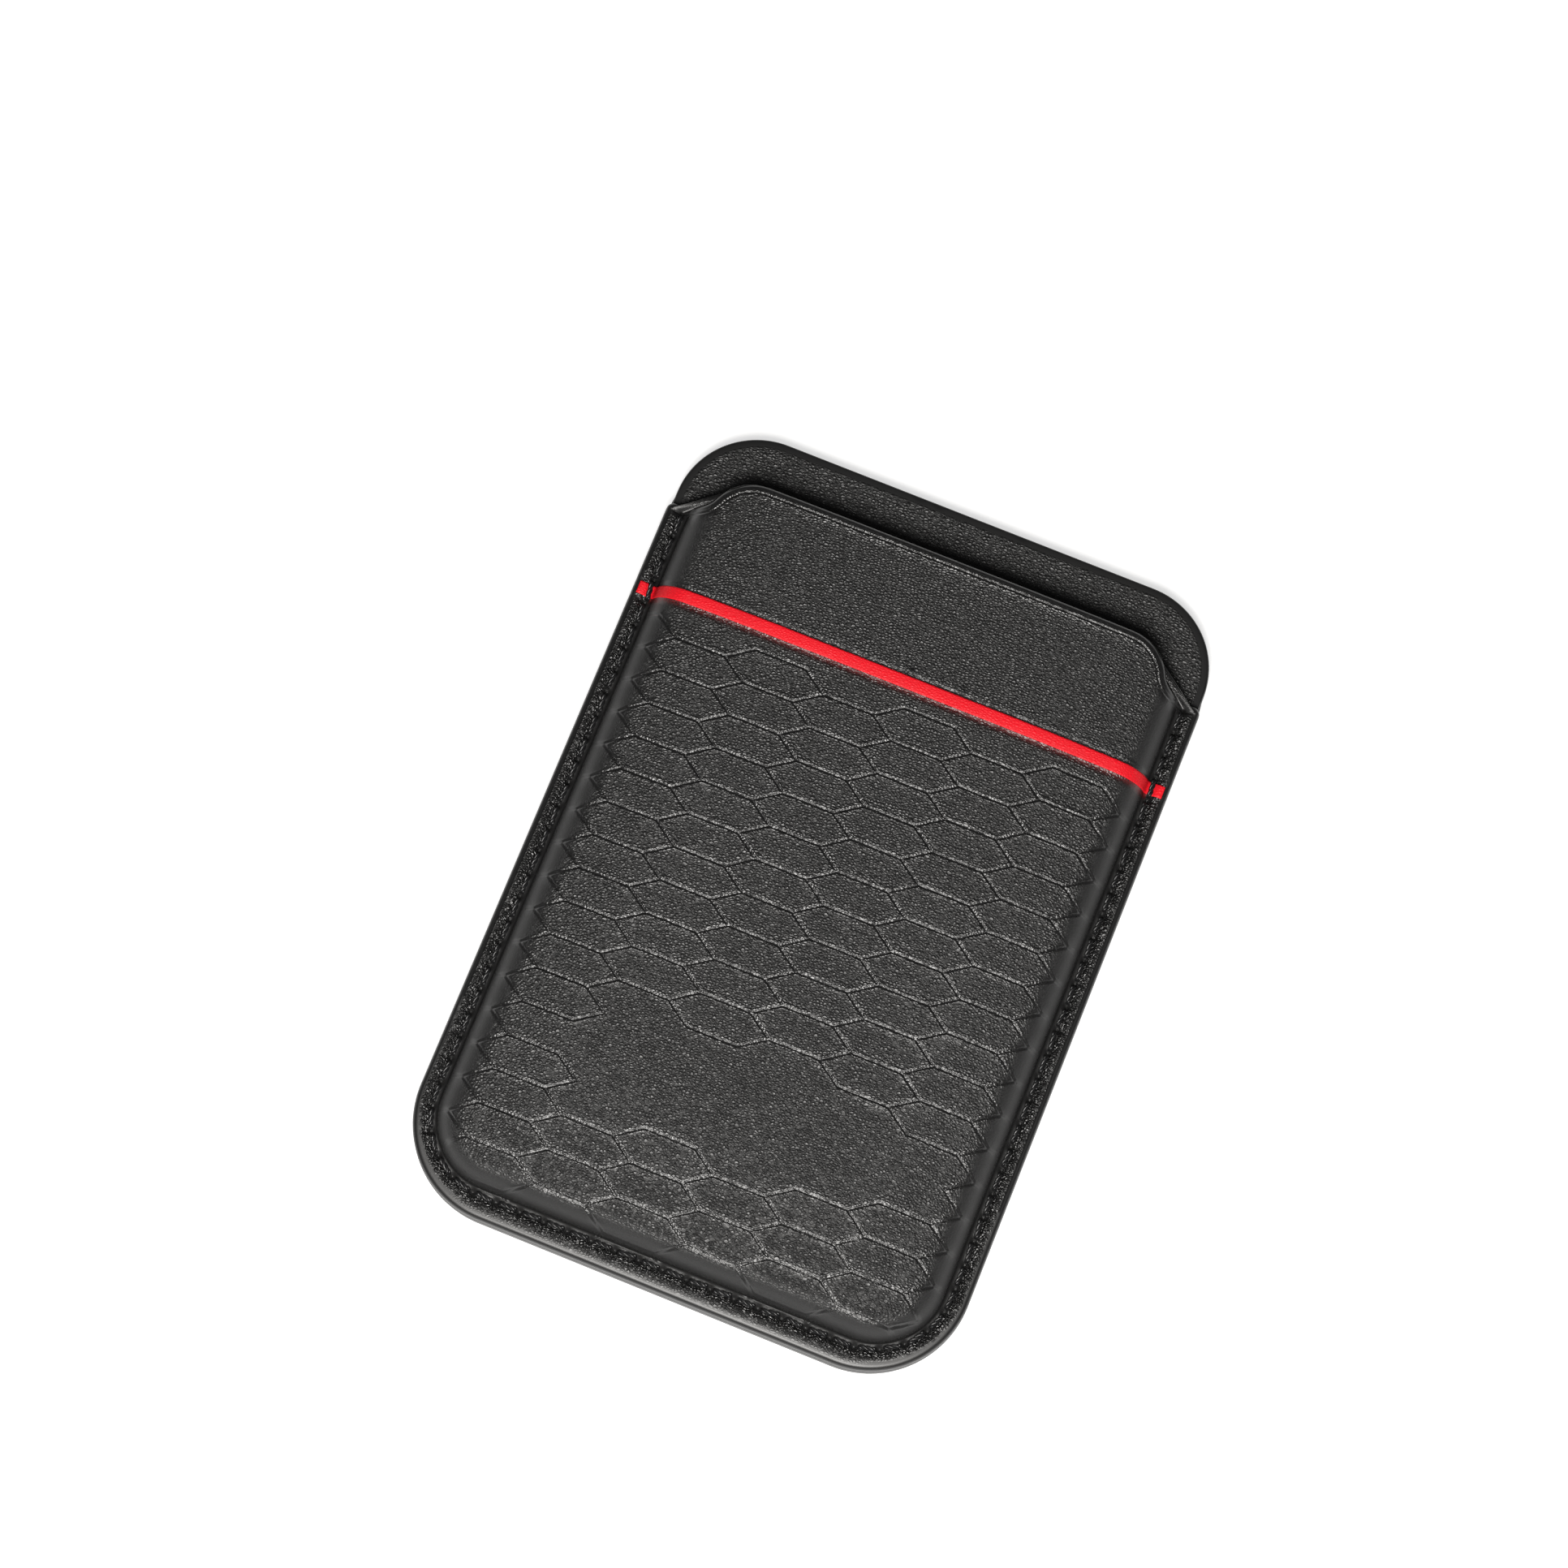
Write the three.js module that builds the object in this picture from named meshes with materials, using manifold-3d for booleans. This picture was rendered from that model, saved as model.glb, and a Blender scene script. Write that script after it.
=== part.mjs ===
// Magnetic phone card holder: a moulded leather pocket sewn to a flat back that holds a ring of magnets.
// Millimetres, lying on its back: X across, Y towards the pocket's mouth, Z out of the front.

import * as THREE from 'three';
import { mergeVertices } from 'three/addons/utils/BufferGeometryUtils.js';
import Module from 'manifold-3d';

// Outline of the whole holder
const holderWidth = 64.6;
const holderLength = 95;
const topCornerRadius = 10;
const bottomCornerRadius = 11.5;
const shoulderStep = 0.3; // the back stands in by this much above the front panel

// Layers, from the phone outwards
const rearCoverThickness = 0.6;
const stiffenerThickness = 1.5;
const backPanelThickness = 0.8;
const flangeThickness = 1.2;
const mouldedThickness = 1.0;
const pocketRise = 4.1; // the raised face above the flange
const layerBevel = 0.12; // broken edge of each flat layer
const edgeRound = 0.6; // painted outer edge of the front panel

// Front panel seen from the front
const flangeSide = 2.65;
const flangeEnd = 3.2;
const wallSide = 4.15;
const wallEnd = 3.1;
const footCornerRadius = 8;
const faceCornerRadius = 3.7;
const mouthDrop = 6.9; // from the back's top edge down to the pocket's mouth
const tabLift = 4.6; // the mouth above the flange's upper ends
const tabInset = 3.6; // from the raised face's side in to where the mouth edge turns down
const tabCornerRadius = 5.7;
const tabFilletRadius = 2.1;

// Seam
const seamToFoot = 0.65; // stitch line out from the foot of the wall
const seamCornerRadius = 9;
const seamGrooveWidth = 0.9;
const seamGrooveDepth = 0.35;
const seamGrooveSlope = 0.12; // how far each side of the groove leans
const stitchPitch = 2.8;
const stitchesAboveStripe = 3;
const threadSize = 0.44;
const bobbinSize = 0.36;
const threadClearance = 0.06;

// Red stripe
const stripeDrop = 15.3; // from the mouth down to the stripe's middle
const stripeWidth = 1.5;
const stripeThickness = 0.22;
const stripeChannelDepth = 0.3;
const stripeClearance = 0.05;
const stripeEndInset = 0.6;

// Honeycomb pressed into the raised face
const cellFlat = 6;
const cellPitchX = 8.87;
const cellPitchY = 4.03;
const cellColumns = 6;
const pressedLineWidth = 0.36;
const pressedLineDepth = 0.2;
const bareFieldDrop = 66.6; // from the mouth down to the middle of the field with no cells
const bareFieldHalfHeight = 7;
const bareFieldHalfWidth = 18;

// Magnets
const magnetRingDrop = 30.8; // from the back's top edge down to the ring's centre
const magnetToSeam = 2.7; // from the ring's outside to the stitch line
const magnetWidth = 4.4; // across the ring's band
const magnetCount = 18;
const magnetGap = 0.3; // between neighbours in the ring
const magnetThickness = 1.0;
const shieldThickness = 0.3;
const ringClearance = 0.3;
const alignmentWidth = 6;
const alignmentLength = 15;
const alignmentGap = 5; // from the ring down to the bar

const arcSteps = 8;
const wallSteps = 7;
const tabSteps = 6;

const halfWidth = holderWidth / 2;
const halfLength = holderLength / 2;
const stiffenerBottom = rearCoverThickness;
const backPanelBottom = stiffenerBottom + stiffenerThickness;
const pocketFloor = backPanelBottom + backPanelThickness;
const flangeTop = pocketFloor + flangeThickness;
const faceTop = flangeTop + pocketRise;
const mouthY = halfLength - mouthDrop;
const flangeEndY = mouthY - tabLift;
const stripeY = mouthY - stripeDrop;
const faceHalfWidth = halfWidth - flangeSide - wallSide;
const seamSide = flangeSide - seamToFoot;
const seamEnd = flangeEnd - seamToFoot;
const seamFloor = flangeTop - seamGrooveDepth;
const seamFloorWidth = seamGrooveWidth - 2 * seamGrooveSlope;
const magnetRingY = halfLength - magnetRingDrop;
const magnetOuterRadius = halfWidth - seamSide - magnetToSeam;
const magnetInnerRadius = magnetOuterRadius - magnetWidth;

const wasm = await Module();
wasm.setup();

function toSolid(geometry) {
  const bare = geometry.clone();
  bare.deleteAttribute('normal');
  bare.deleteAttribute('uv');
  const merged = mergeVertices(bare, 1e-5);
  return new wasm.Manifold(new wasm.Mesh({
    numProp: 3,
    vertProperties: new Float32Array(merged.attributes.position.array),
    triVerts: new Uint32Array(merged.index.array),
  }));
}

function toGeometry(solid) {
  const mesh = solid.getMesh();
  const geometry = new THREE.BufferGeometry();
  geometry.setAttribute('position', new THREE.BufferAttribute(mesh.vertProperties, 3));
  geometry.setIndex(new THREE.BufferAttribute(mesh.triVerts, 1));
  geometry.computeVertexNormals();
  return geometry;
}

function fromTriangles(points, triangles) {
  const geometry = new THREE.BufferGeometry();
  geometry.setAttribute('position', new THREE.Float32BufferAttribute(points.flat(), 3));
  geometry.setIndex(triangles.flat());
  return geometry;
}

function joinAll(solids) {
  let parts = solids;
  while (parts.length > 1) {
    const pairs = [];
    for (let i = 0; i < parts.length; i += 2) {
      pairs.push(i + 1 < parts.length ? parts[i].add(parts[i + 1]) : parts[i]);
    }
    parts = pairs;
  }
  return parts[0];
}

function box(sizeX, sizeY, sizeZ, x, y, z) {
  return new THREE.BoxGeometry(sizeX, sizeY, sizeZ).translate(x, y, z);
}

// The mouth edge of the front panel: straight, a round corner, then a hollow curve out to the flange
function mouthEdge(x) {
  const straightEnd = faceHalfWidth - tabInset;
  const radii = tabCornerRadius + tabFilletRadius;
  const centreRise = Math.max(0, radii - tabLift);
  const centreReach = Math.sqrt(radii * radii - centreRise * centreRise);
  const share = tabCornerRadius / radii;
  const out = Math.abs(x) - straightEnd;
  if (out <= 0) return mouthY;
  if (out <= centreReach * share) {
    return mouthY - tabCornerRadius + Math.sqrt(tabCornerRadius ** 2 - out ** 2);
  }
  if (out < centreReach) {
    return flangeEndY + tabFilletRadius - Math.sqrt(tabFilletRadius ** 2 - (centreReach - out) ** 2);
  }
  return flangeEndY;
}

// One line round the pocket at a given inset: down the left side, round the bottom and up the right side
function pocketLine(side, end, corner, z) {
  const x = halfWidth - side;
  const bottom = -halfLength + end;
  const points = [[-x, mouthEdge(x), z]];
  for (const turn of [-1, 1]) {
    for (let i = 0; i <= arcSteps; i++) {
      const swept = (Math.PI / 2) * (i / arcSteps);
      const angle = turn < 0 ? Math.PI + swept : 1.5 * Math.PI + swept;
      points.push([
        turn * (x - corner) + corner * Math.cos(angle),
        bottom + corner + corner * Math.sin(angle),
        z,
      ]);
    }
  }
  points.push([x, mouthEdge(x), z]);
  return points;
}

// How the wall rolls over into the raised face: share of the way in, and share of the way up
function wallRoll(step) {
  const along = step / wallSteps;
  const quarter = (Math.PI / 2) * along;
  return [0.35 * along + 0.65 * (1 - Math.cos(quarter)), Math.sin(quarter)];
}

function wallLines(foot, face, bottomZ, topZ) {
  const lines = [];
  for (let step = 0; step <= wallSteps; step++) {
    const [inward, upward] = wallRoll(step);
    lines.push(pocketLine(
      THREE.MathUtils.lerp(foot.side, face.side, inward),
      THREE.MathUtils.lerp(foot.end, face.end, inward),
      THREE.MathUtils.lerp(foot.corner, face.corner, inward),
      THREE.MathUtils.lerp(bottomZ, topZ, upward),
    ));
  }
  return lines;
}

function seamLine(offset, z) {
  return pocketLine(seamSide + offset, seamEnd + offset, seamCornerRadius - offset, z);
}

function outerLines() {
  const eased = edgeRound * (1 - Math.SQRT1_2);
  const foot = { side: flangeSide, end: flangeEnd, corner: footCornerRadius };
  const face = { side: flangeSide + wallSide, end: flangeEnd + wallEnd, corner: faceCornerRadius };
  const edge = (inset, z) => pocketLine(inset, inset, bottomCornerRadius - inset, z);
  return [
    edge(0, flangeTop - edgeRound),
    edge(eased, flangeTop - eased),
    edge(edgeRound, flangeTop),
    seamLine(-seamGrooveWidth / 2, flangeTop),
    seamLine(-seamFloorWidth / 2, seamFloor),
    seamLine(seamFloorWidth / 2, seamFloor),
    ...wallLines(foot, face, (flangeTop + seamFloor) / 2, faceTop),
  ];
}

// Underside: flat under the flange, then the hollow of the pocket
function innerLines(outer) {
  const foot = {
    side: flangeSide + mouldedThickness,
    end: flangeEnd + mouldedThickness,
    corner: footCornerRadius - mouldedThickness,
  };
  const face = {
    side: flangeSide + wallSide + mouldedThickness * 0.3,
    end: flangeEnd + wallEnd + mouldedThickness * 0.3,
    corner: faceCornerRadius - mouldedThickness * 0.3,
  };
  const flat = outer.slice(0, outer.length - wallSteps - 1);
  return [
    ...flat.map((line) => line.map(([x, y]) => [x, y, pocketFloor])),
    ...wallLines(foot, face, pocketFloor, faceTop - mouldedThickness),
  ];
}

// A skin between an outer and an inner set of lines, closed along the mouth and the outer edge
function panelBetween(outer, inner) {
  const points = [];
  const triangles = [];
  const add = (point) => points.push(point) - 1;
  const quad = (a, b, c, d) => triangles.push([a, b, c], [a, c, d]);
  const indexed = [outer, inner].map((lines) => lines.map((line) => line.map(add)));
  const last = outer.length - 1;
  const end = outer[0].length - 1;
  const [top, under] = indexed;
  for (let v = 0; v < last; v++) {
    for (let u = 0; u < end; u++) {
      quad(top[v][u], top[v][u + 1], top[v + 1][u + 1], top[v + 1][u]);
      quad(under[v][u], under[v + 1][u], under[v + 1][u + 1], under[v][u + 1]);
    }
  }
  for (let u = 0; u < end; u++) quad(top[0][u + 1], top[0][u], under[0][u], under[0][u + 1]);
  const rims = [outer, inner].map((lines, side) => {
    const faceLine = lines[last];
    const z = faceLine[0][2];
    const reach = faceLine[end][0];
    const straightEnd = faceHalfWidth - tabInset;
    const across = [];
    for (const turn of [-1, 1]) {
      for (let i = 0; i < tabSteps; i++) {
        const step = turn < 0 ? tabSteps - 1 - i : i;
        const x = turn * (straightEnd + (reach - straightEnd) * (step / tabSteps));
        across.push(add([x, mouthEdge(x), z]));
      }
    }
    const left = indexed[side].map((line) => line[0]);
    const right = indexed[side].map((line) => line[end]).reverse();
    const loop = [...indexed[side][last], ...[...across].reverse()];
    const contour = loop.map((i) => new THREE.Vector2(points[i][0], points[i][1]));
    for (const [a, b, c] of THREE.ShapeUtils.triangulateShape(contour, [])) {
      triangles.push(side === 0 ? [loop[a], loop[b], loop[c]] : [loop[a], loop[c], loop[b]]);
    }
    return [...left, ...across, ...right];
  });
  for (let i = 0; i + 1 < rims[0].length; i++) quad(rims[0][i], rims[0][i + 1], rims[1][i + 1], rims[1][i]);
  return fromTriangles(points, triangles);
}

// Points along the stitch line, with the distance that each lies from its start
function seamPath() {
  const startY = stripeY + (stitchesAboveStripe + 0.5) * stitchPitch;
  const line = seamLine(0, 0);
  line[0][1] = startY;
  line[line.length - 1][1] = startY;
  const path = new THREE.CurvePath();
  for (let i = 0; i + 1 < line.length; i++) {
    path.add(new THREE.LineCurve3(new THREE.Vector3(...line[i]), new THREE.Vector3(...line[i + 1])));
  }
  return path;
}

const seam = seamPath();
const seamLength = seam.getLength();
const stitchCount = Math.round(seamLength / stitchPitch);
const realPitch = seamLength / stitchCount;

function seamFrame(distance) {
  const share = THREE.MathUtils.clamp(distance / seamLength, 0, 1);
  const tangent = seam.getTangentAt(share);
  return { at: seam.getPointAt(share), tangent, across: new THREE.Vector3(tangent.y, -tangent.x, 0) };
}

// A square-sectioned thread through points given as distance along the seam and height
function threadThrough(stations, size) {
  const half = size / 2;
  const points = [];
  const triangles = [];
  stations.forEach(({ distance, z, leanAlong, leanUp }) => {
    const { at, tangent, across } = seamFrame(distance);
    for (const [side, lift] of [[-1, -1], [1, -1], [1, 1], [-1, 1]]) {
      const corner = at.clone()
        .addScaledVector(across, side * half)
        .addScaledVector(tangent, lift * half * leanAlong);
      points.push([corner.x, corner.y, z + lift * half * leanUp]);
    }
  });
  for (let i = 0; i + 1 < stations.length; i++) {
    for (let j = 0; j < 4; j++) {
      const a = i * 4 + j;
      const b = i * 4 + ((j + 1) % 4);
      triangles.push([a, b + 4, b], [a, a + 4, b + 4]);
    }
  }
  const tail = points.length - 4;
  triangles.push([0, 1, 2], [0, 2, 3], [tail, tail + 2, tail + 1], [tail, tail + 3, tail + 2]);
  return fromTriangles(points, triangles);
}

const legOffset = threadSize / 2 + threadClearance;
const stitchTop = seamFloor + threadSize / 2 + threadClearance / 2;
const loopLow = backPanelBottom + threadSize / 2 + threadClearance;

function needleThread() {
  const stations = [{ distance: legOffset, z: backPanelBottom + threadClearance, leanAlong: -1, leanUp: 0 }];
  for (let stitch = 0; stitch < stitchCount; stitch++) {
    const start = stitch * realPitch + legOffset;
    const finish = (stitch + 1) * realPitch - legOffset;
    stations.push({ distance: start, z: stitchTop, leanAlong: -1, leanUp: 1 });
    stations.push({ distance: finish, z: stitchTop, leanAlong: 1, leanUp: 1 });
    if (stitch < stitchCount - 1) {
      stations.push({ distance: finish, z: loopLow, leanAlong: 1, leanUp: 1 });
      stations.push({ distance: finish + 2 * legOffset, z: loopLow, leanAlong: -1, leanUp: 1 });
    } else {
      stations.push({ distance: finish, z: backPanelBottom + threadClearance, leanAlong: 1, leanUp: 0 });
    }
  }
  return threadThrough(stations, threadSize);
}

const bobbinGrooveDepth = bobbinSize + 2 * threadClearance;
const bobbinGrooveWidth = bobbinSize + 4 * threadClearance;

function seamStations(z) {
  const stations = [];
  let travelled = 0;
  for (const piece of [null, ...seam.curves]) {
    travelled += piece ? piece.getLength() : 0;
    stations.push({ distance: travelled, z, leanAlong: 0, leanUp: 1 });
  }
  return stations;
}

function bobbinThread() {
  return threadThrough(seamStations(backPanelBottom - bobbinGrooveDepth / 2), bobbinSize);
}

function stitchHoles(bottomZ, topZ) {
  const holes = [];
  const holeLength = 2 * legOffset + threadSize + 2 * threadClearance;
  const holeWidth = threadSize + 2 * threadClearance;
  for (let hole = 0; hole <= stitchCount; hole++) {
    const { at, tangent } = seamFrame(hole * realPitch);
    const cutter = new THREE.BoxGeometry(holeLength, holeWidth, topZ - bottomZ);
    cutter.rotateZ(Math.atan2(tangent.y, tangent.x));
    cutter.translate(at.x, at.y, (topZ + bottomZ) / 2);
    holes.push(toSolid(cutter));
  }
  return joinAll(holes);
}

// Cells that hold no honeycomb: a long field in the middle of the face
function isBareCell(x, y) {
  const fieldY = mouthY - bareFieldDrop;
  return Math.abs(y - fieldY) + Math.max(0, Math.abs(x) - bareFieldHalfWidth) < bareFieldHalfHeight;
}

// The pressed lines: flats across each column and slants between neighbouring columns
function honeycombLines() {
  const slantWidth = cellPitchX - cellFlat;
  const topY = stripeY - 0.7 * cellPitchY;
  const bottomY = -halfLength + flangeEnd + wallEnd;
  const lines = [];
  for (let column = 0; column < cellColumns; column++) {
    const x = (column - (cellColumns - 1) / 2) * cellPitchX;
    const startY = topY - (column % 2 === 0 ? cellPitchY / 2 : 0);
    for (let y = startY; y > bottomY; y -= cellPitchY) {
      if (!(isBareCell(x, y + cellPitchY / 2) && isBareCell(x, y - cellPitchY / 2))) {
        lines.push([x - cellFlat / 2, y, x + cellFlat / 2, y]);
      }
      if (column + 1 === cellColumns) continue;
      const nextX = x + cellPitchX;
      for (const way of [-1, 1]) {
        const endY = y + way * cellPitchY / 2;
        const bare = isBareCell(x, y + way * cellPitchY / 2) && isBareCell(nextX, y);
        if (!bare && endY < topY + 0.1 && endY > bottomY) {
          lines.push([x + cellFlat / 2, y, x + cellFlat / 2 + slantWidth, endY]);
        }
      }
    }
  }
  return lines;
}

function pressedLineCutter([fromX, fromY, toX, toY]) {
  const length = Math.hypot(toX - fromX, toY - fromY) + pressedLineWidth * 0.3;
  const half = pressedLineWidth / 2;
  const slope = half / pressedLineDepth;
  const profile = new THREE.Shape([
    new THREE.Vector2(-half - slope * 0.1, 0.1),
    new THREE.Vector2(0, -pressedLineDepth),
    new THREE.Vector2(half + slope * 0.1, 0.1),
  ]);
  const cutter = new THREE.ExtrudeGeometry(profile, { depth: length, bevelEnabled: false });
  cutter.translate(0, 0, -length / 2);
  cutter.rotateX(Math.PI / 2);
  cutter.rotateZ(Math.atan2(toY - fromY, toX - fromX) - Math.PI / 2);
  cutter.translate((fromX + toX) / 2, (fromY + toY) / 2, faceTop);
  return toSolid(cutter);
}

function frontPanel() {
  const outer = outerLines();
  const inner = innerLines(outer);
  const filledUnder = outer.map((line) => line.map(([x, y]) => [x, y, pocketFloor - flangeThickness]));
  const filled = toSolid(panelBetween(outer, filledUnder));
  const lowered = (drop) => toSolid(panelBetween(outer, filledUnder).translate(0, 0, -drop));
  const bandReach = holderWidth - 2 * stripeEndInset;
  const band = (width, reach) => toSolid(box(reach, width, holderWidth, 0, stripeY, faceTop / 2));
  const channelBand = band(stripeWidth + 2 * stripeClearance, bandReach + 2 * stripeClearance);
  const channel = filled.subtract(lowered(stripeChannelDepth)).intersect(channelBand);
  const stripeSkin = lowered(stripeChannelDepth - stripeThickness).subtract(lowered(stripeChannelDepth));
  const panel = toSolid(panelBetween(outer, inner))
    .subtract(channel)
    .subtract(stitchHoles(pocketFloor - 1, flangeTop + 1))
    .subtract(joinAll(honeycombLines().map(pressedLineCutter)));
  return { panel, stripe: stripeSkin.intersect(band(stripeWidth, bandReach)) };
}

// Outline of the back layers, standing in a little above the front panel
function backOutline() {
  const shape = new THREE.Shape();
  const upperX = halfWidth - shoulderStep;
  const upperTurn = topCornerRadius - shoulderStep;
  shape.moveTo(halfWidth, -halfLength + bottomCornerRadius);
  shape.lineTo(halfWidth, flangeEndY - shoulderStep);
  shape.lineTo(upperX, flangeEndY);
  shape.lineTo(upperX, halfLength - upperTurn);
  shape.absarc(upperX - upperTurn, halfLength - upperTurn, upperTurn, 0, Math.PI / 2);
  shape.absarc(-upperX + upperTurn, halfLength - upperTurn, upperTurn, Math.PI / 2, Math.PI);
  shape.lineTo(-upperX, flangeEndY);
  shape.lineTo(-halfWidth, flangeEndY - shoulderStep);
  shape.absarc(-halfWidth + bottomCornerRadius, -halfLength + bottomCornerRadius, bottomCornerRadius,
    Math.PI, 1.5 * Math.PI);
  shape.absarc(halfWidth - bottomCornerRadius, -halfLength + bottomCornerRadius, bottomCornerRadius,
    1.5 * Math.PI, 2 * Math.PI);
  return shape;
}

function layer(bottomZ, thickness) {
  return new THREE.ExtrudeGeometry(backOutline(), {
    depth: thickness - 2 * layerBevel,
    bevelThickness: layerBevel,
    bevelSize: layerBevel,
    bevelOffset: -layerBevel,
    bevelSegments: 1,
    curveSegments: 10,
  }).translate(0, 0, bottomZ + layerBevel);
}

function ring(innerRadius, outerRadius, bottomZ, topZ) {
  const corners = [[innerRadius, bottomZ], [outerRadius, bottomZ], [outerRadius, topZ], [innerRadius, topZ]];
  const profile = [...corners, corners[0]].map(([radius, z]) => new THREE.Vector2(radius, z));
  return new THREE.LatheGeometry(profile, 48).rotateX(Math.PI / 2).translate(0, magnetRingY, 0);
}

const magnetTop = stiffenerBottom + magnetThickness;
const shieldTop = magnetTop + shieldThickness;
const alignmentY = magnetRingY - magnetOuterRadius - alignmentGap - alignmentLength / 2;

function stiffener() {
  const pocketDepth = shieldTop - stiffenerBottom;
  const below = 1;
  const grooveStations = seamStations(backPanelBottom);
  const groove = threadThrough(grooveStations, 2 * bobbinGrooveDepth);
  return toSolid(layer(stiffenerBottom, stiffenerThickness))
    .subtract(toSolid(ring(
      magnetInnerRadius - ringClearance,
      magnetOuterRadius + ringClearance,
      stiffenerBottom - below,
      stiffenerBottom + pocketDepth,
    )))
    .subtract(toSolid(box(
      alignmentWidth + 2 * ringClearance,
      alignmentLength + 2 * ringClearance,
      2 * magnetThickness,
      0,
      alignmentY,
      stiffenerBottom,
    )))
    .subtract(toSolid(groove));
}

function arcMagnet() {
  const halfSweep = Math.PI / magnetCount - magnetGap / 2 / magnetOuterRadius;
  const shape = new THREE.Shape();
  shape.absarc(0, 0, magnetOuterRadius, -halfSweep, halfSweep, false);
  shape.absarc(0, 0, magnetInnerRadius, halfSweep, -halfSweep, true);
  return new THREE.ExtrudeGeometry(shape, { depth: magnetThickness, bevelEnabled: false, curveSegments: 3 });
}

const black = new THREE.MeshStandardMaterial({ color: 0x17161a, roughness: 0.62, metalness: 0 });
const backLeather = new THREE.MeshStandardMaterial({ color: 0x1b1a1d, roughness: 0.68, metalness: 0 });
const rearLeather = new THREE.MeshStandardMaterial({ color: 0x141416, roughness: 0.8, metalness: 0 });
const red = new THREE.MeshStandardMaterial({ color: 0xe0202e, roughness: 0.5, metalness: 0 });
const thread = new THREE.MeshStandardMaterial({ color: 0x111113, roughness: 0.55, metalness: 0 });
const board = new THREE.MeshStandardMaterial({ color: 0x2a2a2c, roughness: 0.7, metalness: 0 });
const nickel = new THREE.MeshStandardMaterial({ color: 0xb9bcc0, roughness: 0.3, metalness: 1 });
const steel = new THREE.MeshStandardMaterial({ color: 0x9a9da1, roughness: 0.4, metalness: 1 });

function piece(name, geometry, material) {
  const mesh = new THREE.Mesh(geometry, material);
  mesh.name = name;
  return mesh;
}

const front = new THREE.Group();
const { panel, stripe } = frontPanel();
front.add(piece('front_panel', toGeometry(panel), black));
front.add(piece('red_stripe', toGeometry(stripe), red));
front.add(piece('needle_thread', needleThread(), thread));
front.add(piece('bobbin_thread', bobbinThread(), thread));

const back = new THREE.Group();
const backPanel = toSolid(layer(backPanelBottom, backPanelThickness))
  .subtract(stitchHoles(backPanelBottom - 1, pocketFloor + 1));
back.add(piece('back_panel', toGeometry(backPanel), backLeather));
back.add(piece('stiffener', toGeometry(stiffener()), board));
back.add(piece('rear_cover', layer(0, rearCoverThickness), rearLeather));

const magnets = new THREE.Group();
magnets.position.set(0, magnetRingY, stiffenerBottom);
for (let i = 0; i < magnetCount; i++) {
  const magnet = piece(`magnet_${String(i + 1).padStart(2, '0')}`, arcMagnet(), nickel);
  magnet.rotation.z = Math.PI / 2 - ((i + 0.5) * 2 * Math.PI) / magnetCount;
  magnets.add(magnet);
}
back.add(magnets);
back.add(piece('shield_ring', ring(magnetInnerRadius, magnetOuterRadius, magnetTop, shieldTop), steel));
back.add(piece(
  'alignment_magnet',
  box(alignmentWidth, alignmentLength, magnetThickness, 0, alignmentY, stiffenerBottom + magnetThickness / 2),
  nickel,
));

const holder = new THREE.Group();
holder.name = 'magnetic_card_holder';
holder.add(front, back);

export default holder;
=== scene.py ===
import math

import bpy
import numpy as np
from mathutils import Matrix, Vector, noise
from mathutils.geometry import delaunay_2d_cdt
from mathutils.kdtree import KDTree


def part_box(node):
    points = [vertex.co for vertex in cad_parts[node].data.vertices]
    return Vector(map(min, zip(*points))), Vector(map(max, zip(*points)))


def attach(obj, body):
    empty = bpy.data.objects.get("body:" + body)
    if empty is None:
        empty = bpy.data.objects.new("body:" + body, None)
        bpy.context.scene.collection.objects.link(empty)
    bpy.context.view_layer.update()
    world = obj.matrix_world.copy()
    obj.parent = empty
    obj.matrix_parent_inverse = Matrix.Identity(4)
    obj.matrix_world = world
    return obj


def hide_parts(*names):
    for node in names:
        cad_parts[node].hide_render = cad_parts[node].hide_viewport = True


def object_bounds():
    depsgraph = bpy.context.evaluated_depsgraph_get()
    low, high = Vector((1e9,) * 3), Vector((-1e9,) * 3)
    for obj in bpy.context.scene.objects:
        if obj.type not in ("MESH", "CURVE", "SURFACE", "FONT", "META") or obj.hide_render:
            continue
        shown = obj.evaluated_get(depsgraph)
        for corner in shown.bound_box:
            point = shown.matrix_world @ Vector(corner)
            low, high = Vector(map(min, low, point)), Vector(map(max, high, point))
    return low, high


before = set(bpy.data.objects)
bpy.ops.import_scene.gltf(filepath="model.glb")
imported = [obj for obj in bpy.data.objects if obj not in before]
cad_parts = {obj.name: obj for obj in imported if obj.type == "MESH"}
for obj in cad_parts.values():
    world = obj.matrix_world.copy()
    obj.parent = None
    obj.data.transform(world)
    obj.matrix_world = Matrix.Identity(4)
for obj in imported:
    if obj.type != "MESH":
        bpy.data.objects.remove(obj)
cadLow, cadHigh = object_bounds()
mm = 0.001
print("frame loaded:", len(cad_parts), "nodes")

# Shapes and the camera's place are in millimetres, finishes, floor and lamps in metres.
# X runs across, Y towards the pocket's mouth, Z out of the front
frontLow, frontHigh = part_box("front_panel")
stripeLow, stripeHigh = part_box("red_stripe")
backLow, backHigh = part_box("back_panel")
coverLow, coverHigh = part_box("rear_cover")

holder = {
    "halfWidth": cadHigh.x / mm,
    "halfLength": cadHigh.y / mm,
    "topCorner": 10.0,
    "bottomCorner": 11.5,
    "shoulderStep": 0.3,
    "floor": frontLow.z / mm,  # where the cards lie
    "flangeTop": frontLow.z / mm + 1.2,
    "faceTop": frontHigh.z / mm,
    "mouth": frontHigh.y / mm,
}


# The camera comes first

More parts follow.
